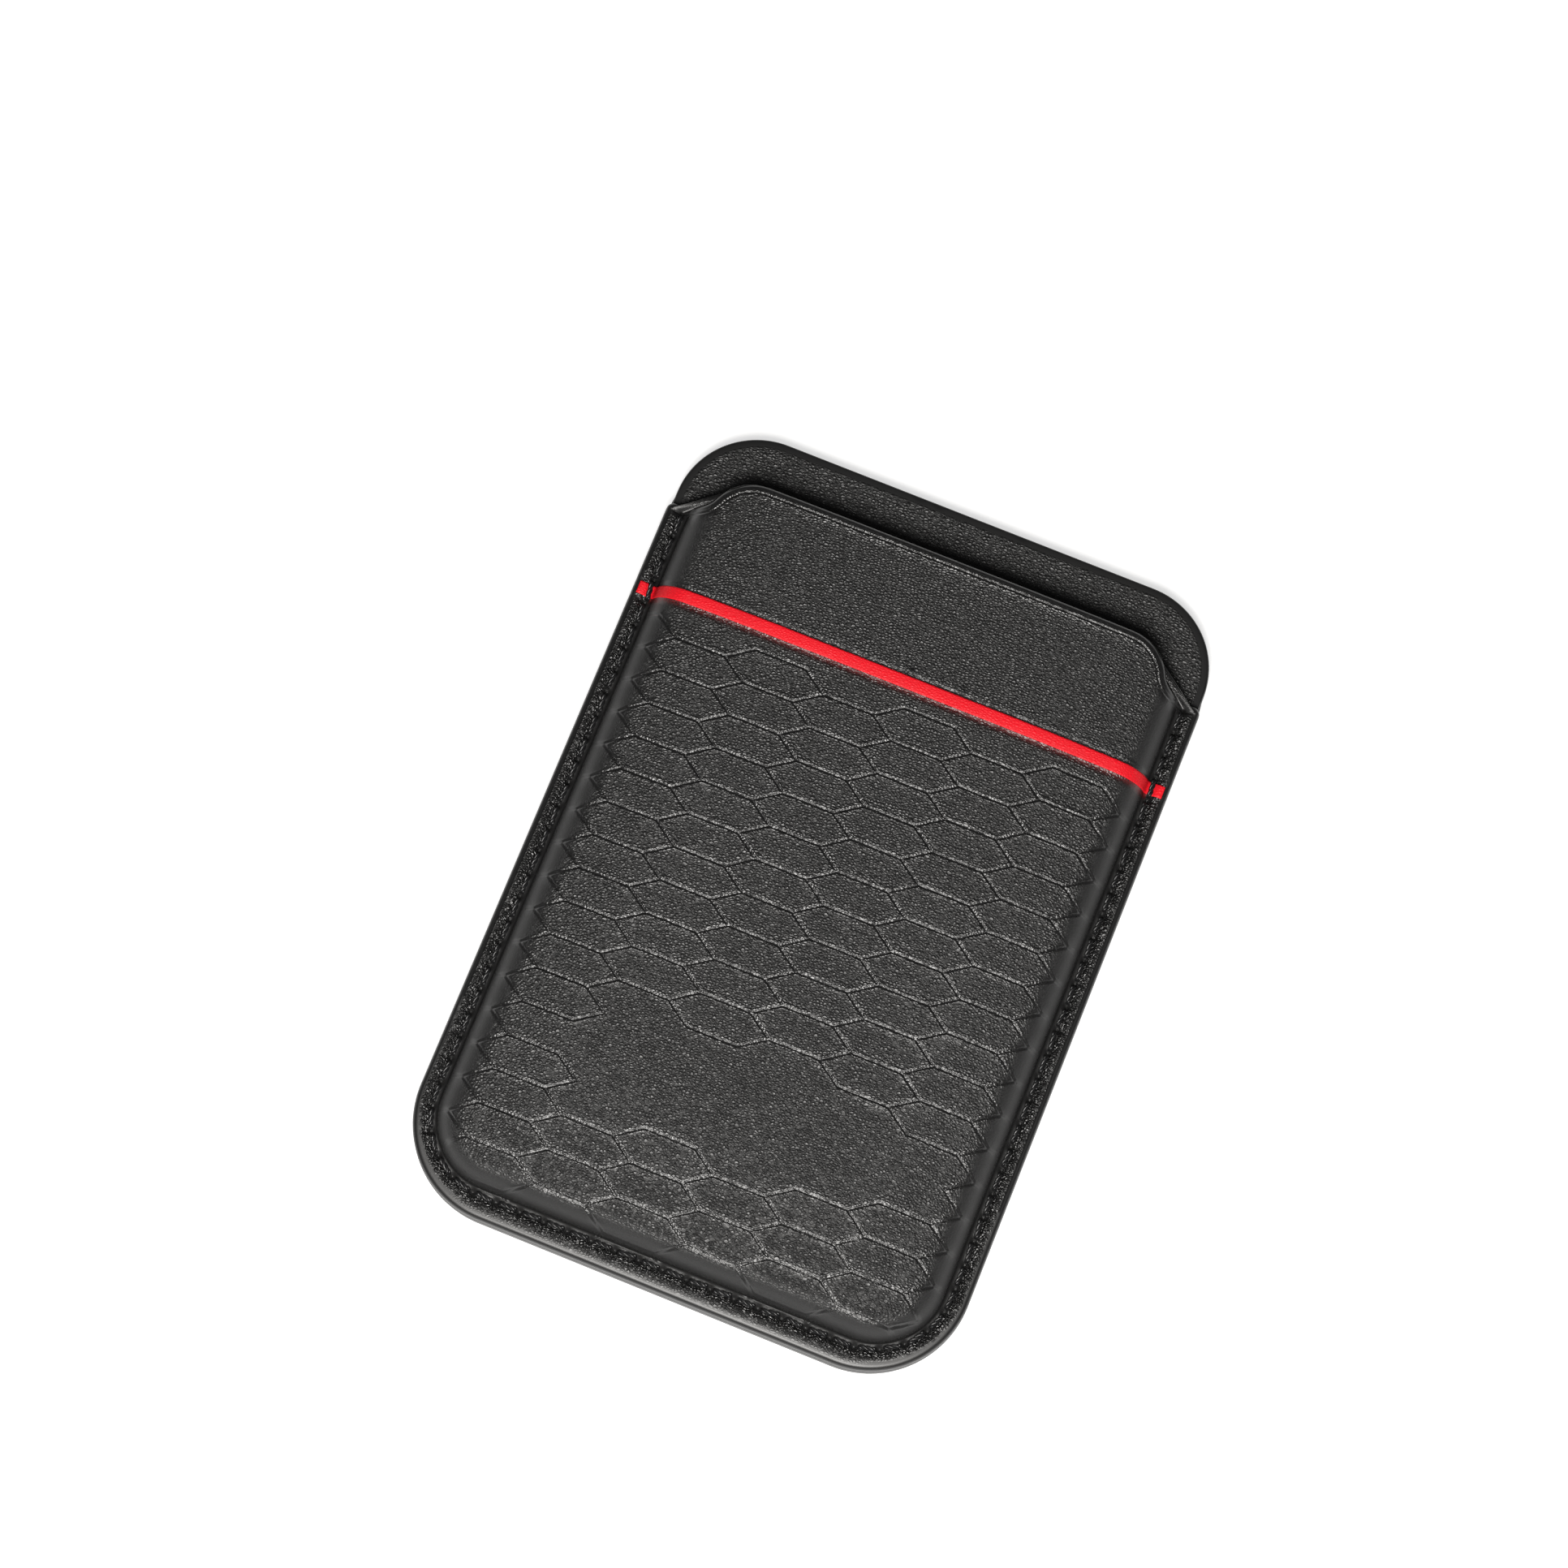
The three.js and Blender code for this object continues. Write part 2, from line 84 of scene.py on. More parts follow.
cameraValues = {
    "place": (23.2, -95.5, 477.4),
    "back": (0.0641, -0.2176, 0.9739),
    "up": (-0.368, 0.902, 0.226),
    "lens": 100.0,
    "sensor": 36.0,
}


def newObject(name, data):
    made = bpy.data.objects.new(name, data)
    bpy.context.scene.collection.objects.link(made)
    return made


def makeCamera():
    data = bpy.data.cameras.new("photoCamera")
    data.lens = cameraValues["lens"]
    data.sensor_width = cameraValues["sensor"]
    data.clip_start = 0.01
    camera = newObject("photoCamera", data)
    back = Vector(cameraValues["back"]).normalized()
    right = Vector(cameraValues["up"]).cross(back).normalized()
    up = back.cross(right)
    turn = Matrix((right, up, back)).transposed().to_4x4()
    camera.matrix_world = Matrix.Translation(Vector(cameraValues["place"]) * mm) @ turn
    bpy.context.scene.camera = camera


makeCamera()
print("camera placed")


# Shader node groups and small helpers for materials

def plug(tree, socket, value):
    # Another node's output is linked to the socket, a plain value is set on it
    if isinstance(value, bpy.types.NodeSocket):
        tree.links.new(value, socket)
    else:
        socket.default_value = value


def addNode(tree, kind, inputs=None, **settings):
    node = tree.nodes.new(kind)
    for key, value in settings.items():
        setattr(node, key, value)
    for key, value in (inputs or {}).items():
        plug(tree, node.inputs[key], value)
    return node


def addMath(tree, operation, *values, clamp=False):
    node = addNode(tree, "ShaderNodeMath", dict(enumerate(values)), operation=operation, use_clamp=clamp)
    return node.outputs[0]


def addVector(tree, operation, inputs):
    return addNode(tree, "ShaderNodeVectorMath", inputs, operation=operation).outputs[0]


def addNoise(tree, place, scale, detail):
    return addNode(tree, "ShaderNodeTexNoise", {"Vector": place, "Scale": scale, "Detail": detail}).outputs


def mixColour(tree, share, first, second):
    return addNode(tree, "ShaderNodeMix", {0: share, 6: first, 7: second}, data_type="RGBA").outputs[2]


def addBump(tree, shader, height, distance, strength=1.0):
    bump = addNode(tree, "ShaderNodeBump", {"Height": height, "Strength": strength, "Distance": distance})
    plug(tree, shader.inputs["Normal"], bump.outputs["Normal"])


def newGroup(name, inputs, outputs):
    group = bpy.data.node_groups.new(name, "ShaderNodeTree")
    for label, value in inputs:
        socket = group.interface.new_socket(label, in_out="INPUT", socket_type="NodeSocketFloat")
        socket.default_value = value
    for label in outputs:
        group.interface.new_socket(label, in_out="OUTPUT", socket_type="NodeSocketFloat")
    return group, group.nodes.new("NodeGroupInput"), group.nodes.new("NodeGroupOutput")


def makePebbleGrain():
    # Leather's raised pebbles, drawn out a little one way, with a finer grain on top
    inputs = [("Pebbles Per Metre", 3000.0), ("Side", 0.48), ("Wander", 0.00022), ("Fine Share", 0.25)]
    group, given, result = newGroup("pebbleGrain", inputs, ["Height", "Crease", "Patch"])
    place = addNode(group, "ShaderNodeTexCoord").outputs["Object"]
    wander = addNoise(group, place, 1500.0, 1.0)["Color"]
    centred = addVector(group, "SUBTRACT", {0: wander, 1: (0.5, 0.5, 0.5)})
    moved = addVector(group, "SCALE", {0: centred, "Scale": given.outputs["Wander"]})
    shifted = addVector(group, "ADD", {0: place, 1: moved})
    drawn = addVector(group, "MULTIPLY", {0: shifted, 1: (0.82, 1.1, 1.0)})
    pebbles = addNode(group, "ShaderNodeTexVoronoi",
                      {"Vector": drawn, "Scale": given.outputs["Pebbles Per Metre"], "Randomness": 0.9},
                      feature="DISTANCE_TO_EDGE")
    rise = addMath(group, "DIVIDE", pebbles.outputs["Distance"], given.outputs["Side"])
    rounded = addMath(group, "SMOOTH_MIN", rise, 1.0, 0.6)
    fine = addNoise(group, place, 8000.0, 2.0)["Fac"]
    plug(group, result.inputs["Height"],
         addMath(group, "MULTIPLY_ADD", fine, given.outputs["Fine Share"], rounded))
    plug(group, result.inputs["Crease"],
         addMath(group, "SUBTRACT", 1.0, addMath(group, "MULTIPLY", rise, 1.6), clamp=True))
    plug(group, result.inputs["Patch"], addNoise(group, place, 160.0, 3.0)["Fac"])
    return group


pebbleGrain = makePebbleGrain()


def startMaterial(name, **shaderValues):
    material = bpy.data.materials.new(name)
    material.use_nodes = True
    tree = material.node_tree
    shader = tree.nodes["Principled BSDF"]
    for key, value in shaderValues.items():
        shader.inputs[key.replace("_", " ")].default_value = value
    return material, tree, shader


def grainOutputs(tree, pebblesPerMetre):
    node = tree.nodes.new("ShaderNodeGroup")
    node.node_tree = pebbleGrain
    node.inputs["Pebbles Per Metre"].default_value = pebblesPerMetre
    return node.outputs


def attribute(tree, name):
    return addNode(tree, "ShaderNodeAttribute", attribute_name=name).outputs["Fac"]


leather = {
    "dark": (0.0048, 0.0047, 0.0049, 1),
    "light": (0.012, 0.0117, 0.0117, 1),
    "paint": (0.006, 0.0059, 0.0061, 1),
    "stain": (0.14, 0.009, 0.01, 1),  # where the stripe's colour ran over its edge
    # painted shade: in the creases between pebbles the base colour drops to this share of the dark tone,
    # standing in for the shadow a bump cannot cast
    "creaseShade": 0.35,  # of the dark tone, in the creases between pebbles
    "pebblesPerMetre": 3100.0,
    "grainDepth": 0.000088,
    "roughness": 0.4,
    "paintRoughness": 0.42,
    "shine": 0.75,
    "wallRoughness": 0.52,  # leather that was stretched over the wall
    "pressedRoughness": 0.34,  # and burnished where it was pressed
    "grainWhenPressed": 0.5,
    "grainOnWall": 0.12,  # how much of the grain is left there
    "gatheredGrain": 1.5,  # how much deeper it is where the thread gathers the leather
    "gatheredRoughness": 0.36,
}


def dimmed(colour, share):
    return tuple(value * share for value in colour[:3]) + (1,)


def leatherMaterial(name, depth=1.0, pebbles=1.0, lift=1.0):
    material, tree, shader = startMaterial(name, Specular_IOR_Level=leather["shine"])
    grain = grainOutputs(tree, leather["pebblesPerMetre"] * pebbles)
    masks = ("paint", "stretch", "pressed", "gathered", "stain")
    paint, stretch, pressed, gathered, stain = (attribute(tree, mask) for mask in masks)
    onWall = addMath(tree, "MULTIPLY_ADD", stretch, leather["grainOnWall"] - 1.0, 1.0)
    inPress = addMath(tree, "MULTIPLY_ADD", pressed, leather["grainWhenPressed"] - 1.0, 1.0)
    bare = addMath(tree, "SUBTRACT", 1.0, paint)
    grainShare = addMath(tree, "MULTIPLY", bare, addMath(tree, "MULTIPLY", onWall, inPress))
    tone = addMath(tree, "MULTIPLY_ADD", grain["Patch"], 0.5, 0.25)
    dark = dimmed(leather["dark"], lift)
    skin = mixColour(tree, tone, dark, dimmed(leather["light"], lift))
    # Painted shade: the creases between pebbles are darkened in the base colour
    creaseShadeShare = addMath(tree, "MULTIPLY", grain["Crease"], grainShare)
    creaseShaded = mixColour(tree, creaseShadeShare, skin, dimmed(dark, leather["creaseShade"]))
    stainShare = addMath(tree, "MULTIPLY", stain, addMath(tree, "MULTIPLY_ADD", grain["Crease"], 0.75, 0.25))
    stained = mixColour(tree, stainShare, creaseShaded, leather["stain"])
    plug(tree, shader.inputs["Base Color"], mixColour(tree, paint, stained, leather["paint"]))
    rough = addMath(tree, "MULTIPLY_ADD", grain["Crease"], 0.2, leather["roughness"])
    for share, value in ((stretch, "wallRoughness"), (pressed, "pressedRoughness"),
                         (gathered, "gatheredRoughness"), (paint, "paintRoughness")):
        rough = addNode(tree, "ShaderNodeMix", {0: share, 2: rough, 3: leather[value]}).outputs[0]
    plug(tree, shader.inputs["Roughness"], rough)
    deeper = addMath(tree, "MULTIPLY_ADD", gathered, leather["gatheredGrain"] - 1, 1.0)
    height = addMath(tree, "MULTIPLY", addMath(tree, "MULTIPLY", grain["Height"], grainShare), deeper)
    addBump(tree, shader, height, leather["grainDepth"] * depth)
    return material


stripeFinish = {
    "bright": (0.93, 0.006, 0.018, 1),
    "deep": (0.6, 0.004, 0.012, 1),
    "roughness": 0.44,
    "shine": 0.35,
    "grainDepth": 0.00004,
}


def stripeMaterial():
    material, tree, shader = startMaterial("redStripeInlay", Specular_IOR_Level=stripeFinish["shine"])
    grain = grainOutputs(tree, leather["pebblesPerMetre"])
    # Darker red in random patches of the leather's own tone, plus painted shade deepening the red in the
    # creases between pebbles
    tone = addMath(tree, "MULTIPLY", grain["Patch"], 0.5)
    patchesAndCreaseShade = addMath(tree, "MULTIPLY_ADD", grain["Crease"], 0.35, tone, clamp=True)
    colour = mixColour(tree, patchesAndCreaseShade, stripeFinish["bright"], stripeFinish["deep"])
    plug(tree, shader.inputs["Base Color"], colour)
    rough = addMath(tree, "MULTIPLY_ADD", grain["Crease"], 0.2, stripeFinish["roughness"])
    plug(tree, shader.inputs["Roughness"], rough)
    addBump(tree, shader, grain["Height"], stripeFinish["grainDepth"])
    return material


def speckledMaterial(name, first, second, scale, roughness, metallic=0.0, depth=0.00002,
                     spread=0.2, detail=4.0, relief=0.5):
    # A fine speckle over one tone, for the thread and the hidden pieces
    material, tree, shader = startMaterial(name, Metallic=metallic)
    place = addNode(tree, "ShaderNodeTexCoord").outputs["Object"]
    speck = addNoise(tree, place, scale, detail)["Fac"]
    plug(tree, shader.inputs["Base Color"], mixColour(tree, speck, first, second))
    plug(tree, shader.inputs["Roughness"], addMath(tree, "MULTIPLY_ADD", speck, spread, roughness))
    addBump(tree, shader, speck, depth, relief)
    return material


frontLeather = leatherMaterial("blackPebbledLeather")
backLeather = leatherMaterial("blackInnerLeather", depth=1.1, pebbles=0.9)
rearLeather = leatherMaterial("blackRearLeather", depth=0.6, pebbles=1.3, lift=0.9)
redInlay = stripeMaterial()
waxedThread = speckledMaterial("waxedThread", (0.003, 0.003, 0.0032, 1), (0.016, 0.016, 0.017, 1), 7000.0,
                               0.2, depth=0.00003, spread=0.3, detail=3.0, relief=0.8)
print("materials made")


# Shapes in plan, all as arrays of x and y in millimetres

pocket = {
    "flangeSide": 2.65,
    "flangeEnd": 3.2,
    "wallSide": 4.15,
    "wallEnd": 3.1,
    "footCorner": 8.0,
    "faceCorner": 3.7,
    "thickness": 1.0,
    "tabLift": 4.6,
    "tabInset": 3.6,
    "tabCorner": 5.7,
    "tabFillet": 2.1,
    "flangeCorner": 0.9,  # rounding at the flange's upper outer corners
}
seam = {
    "side": 2.0,
    "end": 2.55,
    "corner": 9.0,
    "grooveDepth": 0.35,
    "grooveHalf": 0.1,
    "beadReach": 0.95,  # from the stitch line out to where the flange is at its full height
    "grooveRise": (0.3, 0.65),  # where the groove comes up again towards the wall
    "holeDepth": 0.6,
    "holeLong": 0.36,
    "holeWide": 0.26,
    "pinch": 0.24,  # depth of the crease beside each hole
    "pinchHalf": 0.2,
    "wrinkle": 0.13,  # height of the creases that the tight thread draws into the flange
    "wrinkleLength": 0.42,
    "wrinkleSpread": 1.1,
    "workedReach": 1.5,  # no hole or wrinkle lies farther from the stitch line
    "pitch": 2.8,
    "stitchesAboveStripe": 3,
}
stripe = {
    "middle": (stripeLow.y + stripeHigh.y) / 2 / mm,
    "half": (stripeHigh.y - stripeLow.y) / 2 / mm,
    "reach": stripeHigh.x / mm,
}


def ring(inset):
    # Half width, bottom and corner radius of the U-shaped line at an inset from the outer edge
    return (holder["halfWidth"] - inset, -holder["halfLength"] + inset, holder["bottomCorner"] - inset)


def seamRing(offset):
    return (
        holder["halfWidth"] - seam["side"] - offset,
        -holder["halfLength"] + seam["end"] + offset,
        seam["corner"] - offset,
    )


def wallRing(share, inner=False):
    # From the wall's foot (0) to the raised face (1)
    thick = pocket["thickness"] if inner else 0.0
    foot = (
        holder["halfWidth"] - pocket["flangeSide"] - thick,
        -holder["halfLength"] + pocket["flangeEnd"] + thick,
        pocket["footCorner"] - thick,
    )
    slack = 0.3 * thick
    face = (
        holder["halfWidth"] - pocket["flangeSide"] - pocket["wallSide"] - slack,
        -holder["halfLength"] + pocket["flangeEnd"] + pocket["wallEnd"] + slack,
        pocket["faceCorner"] - slack,
    )
    return tuple(a + (b - a) * share for a, b in zip(foot, face))


def ringDistance(x, y, half, bottom, corner):
    # Signed distance to a U-shaped line, positive outside it
    aside = np.abs(x) - (half - corner)
    below = (bottom + corner) - y
    cornerDistance = np.hypot(np.maximum(aside, 0), np.maximum(below, 0)) - corner
    return np.where((aside > 0) & (below > 0), cornerDistance, np.maximum(aside, below) - corner)


def mouthEdge(x):
    straight = holder["halfWidth"] - pocket["flangeSide"] - pocket["wallSide"] - pocket["tabInset"]
    corner, fillet, lift = pocket["tabCorner"], pocket["tabFillet"], pocket["tabLift"]
    radii = corner + fillet
    reach = math.sqrt(radii ** 2 - (radii - lift) ** 2)
    out = np.abs(x) - straight
    mouth = holder["mouth"]
    round1 = mouth - corner + np.sqrt(np.maximum(corner ** 2 - np.clip(out, 0, corner) ** 2, 0))
    inFillet = np.clip(reach - out, 0, fillet)
    round2 = mouth - lift + fillet - np.sqrt(np.maximum(fillet ** 2 - inFillet ** 2, 0))
    y = np.where(out <= 0, mouth, np.where(out <= reach * corner / radii, round1, round2))
    return np.where(out >= reach, mouth - lift, y)


def ringLine(half, bottom, corner, spacing, top=None, gap=0.0):
    # Points down the left side, round the bottom and up the right side
    top = float(mouthEdge(half)) - gap if top is None else top
    side = np.linspace(top, bottom + corner, max(2, int((top - bottom - corner) / spacing) + 1))
    arcSteps = max(6, int(corner * math.pi / 2 / min(spacing, 0.5)))
    angles = np.linspace(math.pi, 1.5 * math.pi, arcSteps + 1)[1:]
    left = [(-half, y) for y in side]
    left += [(-half + corner + corner * math.cos(a), bottom + corner + corner * math.sin(a)) for a in angles]
    across = np.linspace(-half + corner, half - corner, max(2, int(2 * (half - corner) / spacing) + 1))
    right = [(-x, y) for x, y in reversed(left)]
    return np.array(left + [(x, bottom) for x in across[1:-1]] + right)


def frontOutline(spacing):
    # The front panel's outline: the U, its rounded upper corners and the mouth edge
    half, bottom, corner = ring(0)
    turn = pocket["flangeCorner"]
    top = float(mouthEdge(half))
    points = list(map(tuple, ringLine(half, bottom, corner, spacing, top - turn)))
    angles = np.linspace(0, math.pi / 2, 7)[1:]
    points += [(half - turn + turn * math.cos(a), top - turn + turn * math.sin(a)) for a in angles]
    xs = np.linspace(half - turn, -half + turn, int(2 * half / (spacing * 0.6)))
    points += [(x, float(mouthEdge(x))) for x in xs[1:-1]]
    points += [(-half + turn + turn * math.cos(a), top - turn + turn * math.sin(a))
               for a in np.linspace(math.pi / 2, math.pi, 7)[:-1]]
    return np.array(points)


def backOutline(spacing):
    # The back layers' outline, standing in a little above the front panel
    half, bottom, corner = ring(0)
    step = holder["shoulderStep"]
    shoulder = holder["mouth"] - pocket["tabLift"]
    points = list(map(tuple, ringLine(half, bottom, corner, spacing, shoulder - 1.5 * step)))
    upper = half - step
    turn = holder["topCorner"] - step
    top = holder["halfLength"] - turn
    ease = [(half - step * t * t * (3 - 2 * t), shoulder - 1.5 * step + 2 * step * t)
            for t in (0.25, 0.5, 0.75, 1)]
    rise = [(upper, y) for y in np.linspace(shoulder + 0.5 * step, top, 4)[1:]]
    angles = np.linspace(0, math.pi / 2, 26)[1:]
    arc = [(upper - turn + turn * math.cos(a), top + turn * math.sin(a)) for a in angles]
    rightSide = ease + rise + arc
    across = [(x, holder["halfLength"]) for x in np.linspace(upper - turn, -upper + turn, 40)[1:-1]]
    return np.array(points + rightSide + across + [(-x, y) for x, y in reversed(rightSide)])


def outwardNormals(loop):
    ahead = np.roll(loop, -1, axis=0) - np.roll(loop, 1, axis=0)
    normals = np.stack([ahead[:, 1], -ahead[:, 0]], axis=1)
    return normals / np.linalg.norm(normals, axis=1)[:, None]


# The embossed honeycomb as line segments

honeycomb = {
    "flat": 6.0,
    "pitchX": 8.87,
    "pitchY": 4.03,
    "columns": range(-1, 7),  # the outer two run down over the walls
    "middleColumn": 2.5,
    "firstRow": 0.7,  # below the stripe, in pitches
    "bareMiddle": -26.0,
    "bareHalfHeight": 7.0,
    "bareHalfWidth": 18.0,
    "depth": 0.06,
    "lip": 0.032,
    "halfWidth": 0.165,
    "flatShare": 0.25,  # of the half width, at the bottom of a line
    "lipReach": 1.5,  # the lip's crest and its outer foot, in half widths
    "lipFoot": 2.15,
    "onWall": 0.85,
    "edgeInset": 3.0,
}


def isBare(x, y):
    beside = max(0.0, abs(x) - honeycomb["bareHalfWidth"])
    return abs(y - honeycomb["bareMiddle"]) + beside < honeycomb["bareHalfHeight"]


def honeycombSegments():
    flat, pitchX, pitchY = honeycomb["flat"], honeycomb["pitchX"], honeycomb["pitchY"]
    topRow = stripe["middle"] - honeycomb["firstRow"] * pitchY
    bottomRow = -holder["halfLength"]
    segments = []
    for column in honeycomb["columns"]:
        x = (column - honeycomb["middleColumn"]) * pitchX
        y = topRow - (pitchY / 2 if column % 2 == 0 else 0)
        while y > bottomRow:
            if not (isBare(x, y + pitchY / 2) and isBare(x, y - pitchY / 2)):
                segments.append((x - flat / 2, y, x + flat / 2, y))
            for way in (-1, 1):
                endY = y + way * pitchY / 2
                bare = isBare(x, endY) and isBare(x + pitchX, y)
                if not bare and endY < topRow + 0.1:
                    segments.append((x + flat / 2, y, x - flat / 2 + pitchX, endY))
            y -= pitchY
    return clipToPanel(np.array(segments))


def clipToPanel(segments):
    # Keeps the stretch of each segment that lies inside the painted edge
    kept = []
    share = np.linspace(0, 1, 25)
    for x1, y1, x2, y2 in segments:
        xs, ys = x1 + (x2 - x1) * share, y1 + (y2 - y1) * share
        inside = np.nonzero(ringDistance(xs, ys, *ring(honeycomb["edgeInset"])) < 0)[0]
        if len(inside) > 2:
            a, b = inside[0], inside[-1]
            kept.append((xs[a], ys[a], xs[b], ys[b]))
    return np.array(kept)


cells = honeycombSegments()


# The seam's holes along the stitch line

def pathPoints(line, distances):
    steps = np.hypot(*np.diff(line, axis=0).T)
    travelled = np.concatenate([[0], np.cumsum(steps)])
    return np.stack([np.interp(distances, travelled, line[:, k]) for k in (0, 1)], axis=1), travelled[-1]


stitchLineTop = stripe["middle"] + (seam["stitchesAboveStripe"] + 0.5) * seam["pitch"]
stitchLine = ringLine(*seamRing(0), 0.4, stitchLineTop)
seamLength = pathPoints(stitchLine, [0])[1]
stitchCount = round(seamLength / seam["pitch"])


# Heights of the front panel's outer and inner surfaces

rollTable = np.linspace(0, 1, 200)
rollInward = 0.35 * rollTable + 0.65 * (1 - np.cos(rollTable * math.pi / 2))
rollUpward = np.sin(rollTable * math.pi / 2)


def smooth(x, low, high):
    t = np.clip((x - low) / (high - low), 0, 1)
    return t * t * (3 - 2 * t)


def wallShare(x, y, inner=False):
    low, high = np.zeros(len(x)), np.ones(len(x))
    foot, face = wallRing(0, inner), wallRing(1, inner)
    for _ in range(24):
        middle = (low + high) / 2
        line = [a + (b - a) * middle for a, b in zip(foot, face)]
        outside = ringDistance(x, y, *line) > 0
        high = np.where(outside, middle, high)
        low = np.where(outside, low, middle)
    return (low + high) / 2


def softWaves(x, y, seed):
    return np.array([noise.noise((a, b, seed)) for a, b in zip(x.tolist(), y.tolist())])


stripeProfile = {  # height across the stripe's edges, from its middle towards the mouth
    "at": [-1.65, -1.45, -1.0, -0.88, -0.78, 0.76, 0.86, 1.0, 1.1, 1.2, 1.3, 1.5],
    "rise": [0.0, -0.01, -0.13, -0.09, -0.04, -0.04, -0.1, -0.09, -0.03, 0.03, 0.03, 0.0],
}
pillow = {"drop": 0.6, "reach": 5.0, "waves": 0.06, "waveLength": 9.0}  # how the face falls towards the wall
crease = {  # the line pressed along the mouth
    "inset": 0.95,
    "half": 0.12,
    "depth": 0.06,
    "lip": 0.035,
    "lipReach": 1.7,  # in half widths, as the rows are
    "lipHalf": 0.6,
    "rows": (-2.5, -1.7, -1, -0.3, 0, 0.3, 1, 1.7, 2.5),
    "mouthPaint": 0.5,
}


def outerHeight(x, y, mouthAway, along):
    share = wallShare(x, y)
    across = -ringDistance(x, y, *seamRing(0))  # positive towards the wall
    top, depth = holder["flangeTop"], seam["grooveDepth"]
    outside = 1 - smooth(-across, seam["grooveHalf"], seam["beadReach"])
    groove = np.where(across < 0, outside, 1 - 0.5 * smooth(across, *seam["grooveRise"]))
    footHeight = top - depth / 2
    fromWall = np.maximum(-ringDistance(x, y, *wallRing(1)), 0)
    face = holder["faceTop"] - pillow["drop"] * np.exp(-fromWall / pillow["reach"])
    rise = (face - footHeight) * np.interp(share, rollInward, rollUpward)
    z = np.where(share > 1e-6, footHeight + rise, top - depth * groove)
    profile = np.interp(y - stripe["middle"], stripeProfile["at"], stripeProfile["rise"])
    z = z + profile * (np.abs(x) < stripe["reach"])
    line = np.abs(mouthAway - crease["inset"]) / crease["half"]
    z = z - crease["depth"] * np.clip(1 - line, 0, 1)
    z = z + crease["lip"] * np.exp(-((line - crease["lipReach"]) / crease["lipHalf"]) ** 2)
    waves = softWaves(x / pillow["waveLength"], y / pillow["waveLength"], 3.0)
    z = z + pillow["waves"] * waves * smooth(share, 0.7, 1.0)
    near = np.abs(across) < seam["workedReach"]
    across, along = across[near], along[near]
    step = seamLength / stitchCount
    fromHole = np.abs((along + step / 2) % step - step / 2)
    inSeam = (along > -0.5) & (along < seamLength + 0.5)
    hole = np.exp(-(fromHole / seam["holeLong"]) ** 2 - (across / seam["holeWide"]) ** 2) * inSeam
    band = smooth(-across, -0.1, 0.25) * (1 - smooth(-across, 0.85, 1.25))
    band = band * smooth(along, -0.9, 0.3) * (1 - smooth(along, seamLength - 0.3, seamLength + 0.9))
    ripple = softWaves(along / seam["wrinkleLength"], across / seam["wrinkleSpread"], 7.0)
    z[near] -= seam["holeDepth"] * hole + seam["pinch"] * np.exp(-(fromHole / seam["pinchHalf"]) ** 2) * band
    z[near] += seam["wrinkle"] * ripple * band
    return z, share


def innerHeight(x, y):
    share = wallShare(x, y, inner=True)
    rise = holder["faceTop"] - pocket["thickness"] - holder["floor"]
    return holder["floor"] + rise * np.interp(share, rollInward, rollUpward)


# Planar meshes: a boundary loop, lines that the triangles follow and points that fill between

def triangulate(loop, lines, fillers):
    points = [Vector(p) for p in loop]
    count = len(points)
    edges = []
    for line in lines:
        start = len(points)
        points += [Vector(p) for p in line]
        edges += [(start + i, start + i + 1) for i in range(len(line) - 1)]
    points += [Vector(p) for p in fillers]
    made = delaunay_2d_cdt(points, edges, [list(range(count))], 1, 1e-4, True)
    coords = np.array([tuple(v) for v in made[0]])
    faces = np.array([list(f) for f in made[2]])
    order = np.full(count, -1)
    for index, sources in enumerate(made[3]):
        for source in sources:
            if source < count:
                order[source] = index
    return coords, faces, order


def lineDistance(x, y, starts, ends):
    # Distance of each point from the nearest of the segments
    nearest = np.full(len(x), 1e9)
    for (x1, y1), (x2, y2) in zip(starts, ends):
        dx, dy = x2 - x1, y2 - y1
        t = np.clip(((x - x1) * dx + (y - y1) * dy) / max(dx * dx + dy * dy, 1e-12), 0, 1)
        nearest = np.minimum(nearest, np.hypot(x - x1 - t * dx, y - y1 - t * dy))
    return nearest


def insideLoop(points, loop, margin):
    # Points at least a margin inside a closed loop
    x, y = points.T
    inside = np.zeros(len(points), bool)
    ahead = np.roll(loop, -1, axis=0)
    for (x1, y1), (x2, y2) in zip(loop, ahead):
        if y1 != y2:
            inside ^= ((y1 > y) != (y2 > y)) & (x < (x2 - x1) * (y - y1) / (y2 - y1) + x1)
    return inside & (lineDistance(x, y, loop, ahead) > margin)


def fillPoints(acrossSpan, lengthSpan, spacing):
    gridX, gridY = np.meshgrid(np.arange(*acrossSpan, spacing), np.arange(*lengthSpan, spacing))
    return np.column_stack([gridX.ravel(), gridY.ravel()])


def keepStretches(lines, test):
    # The stretches of each line whose points pass the test
    points = np.concatenate(lines)
    keep = test(points)
    stretches, start = [], 0
    for line in lines:
        inside = keep[start:start + len(line)]
        start += len(line)
        edges = np.flatnonzero(np.diff(np.concatenate([[0], inside.astype(int), [0]])))
        stretches += [line[a:b] for a, b in zip(edges[::2], edges[1::2]) if b - a > 1]
    return stretches


def meshObject(name, verts, faces, attributes, material):
    mesh = bpy.data.meshes.new(name)
    mesh.from_pydata((np.asarray(verts) * mm).tolist(), [], faces)
    mesh.update()
    for key, values in attributes.items():
        layer = mesh.attributes.new(key, "FLOAT", "POINT")
        layer.data.foreach_set("value", np.asarray(values, np.float32))
    mesh.polygons.foreach_set("use_smooth", [True] * len(mesh.polygons))
    mesh.materials.append(material)
    return newObject(name, mesh)


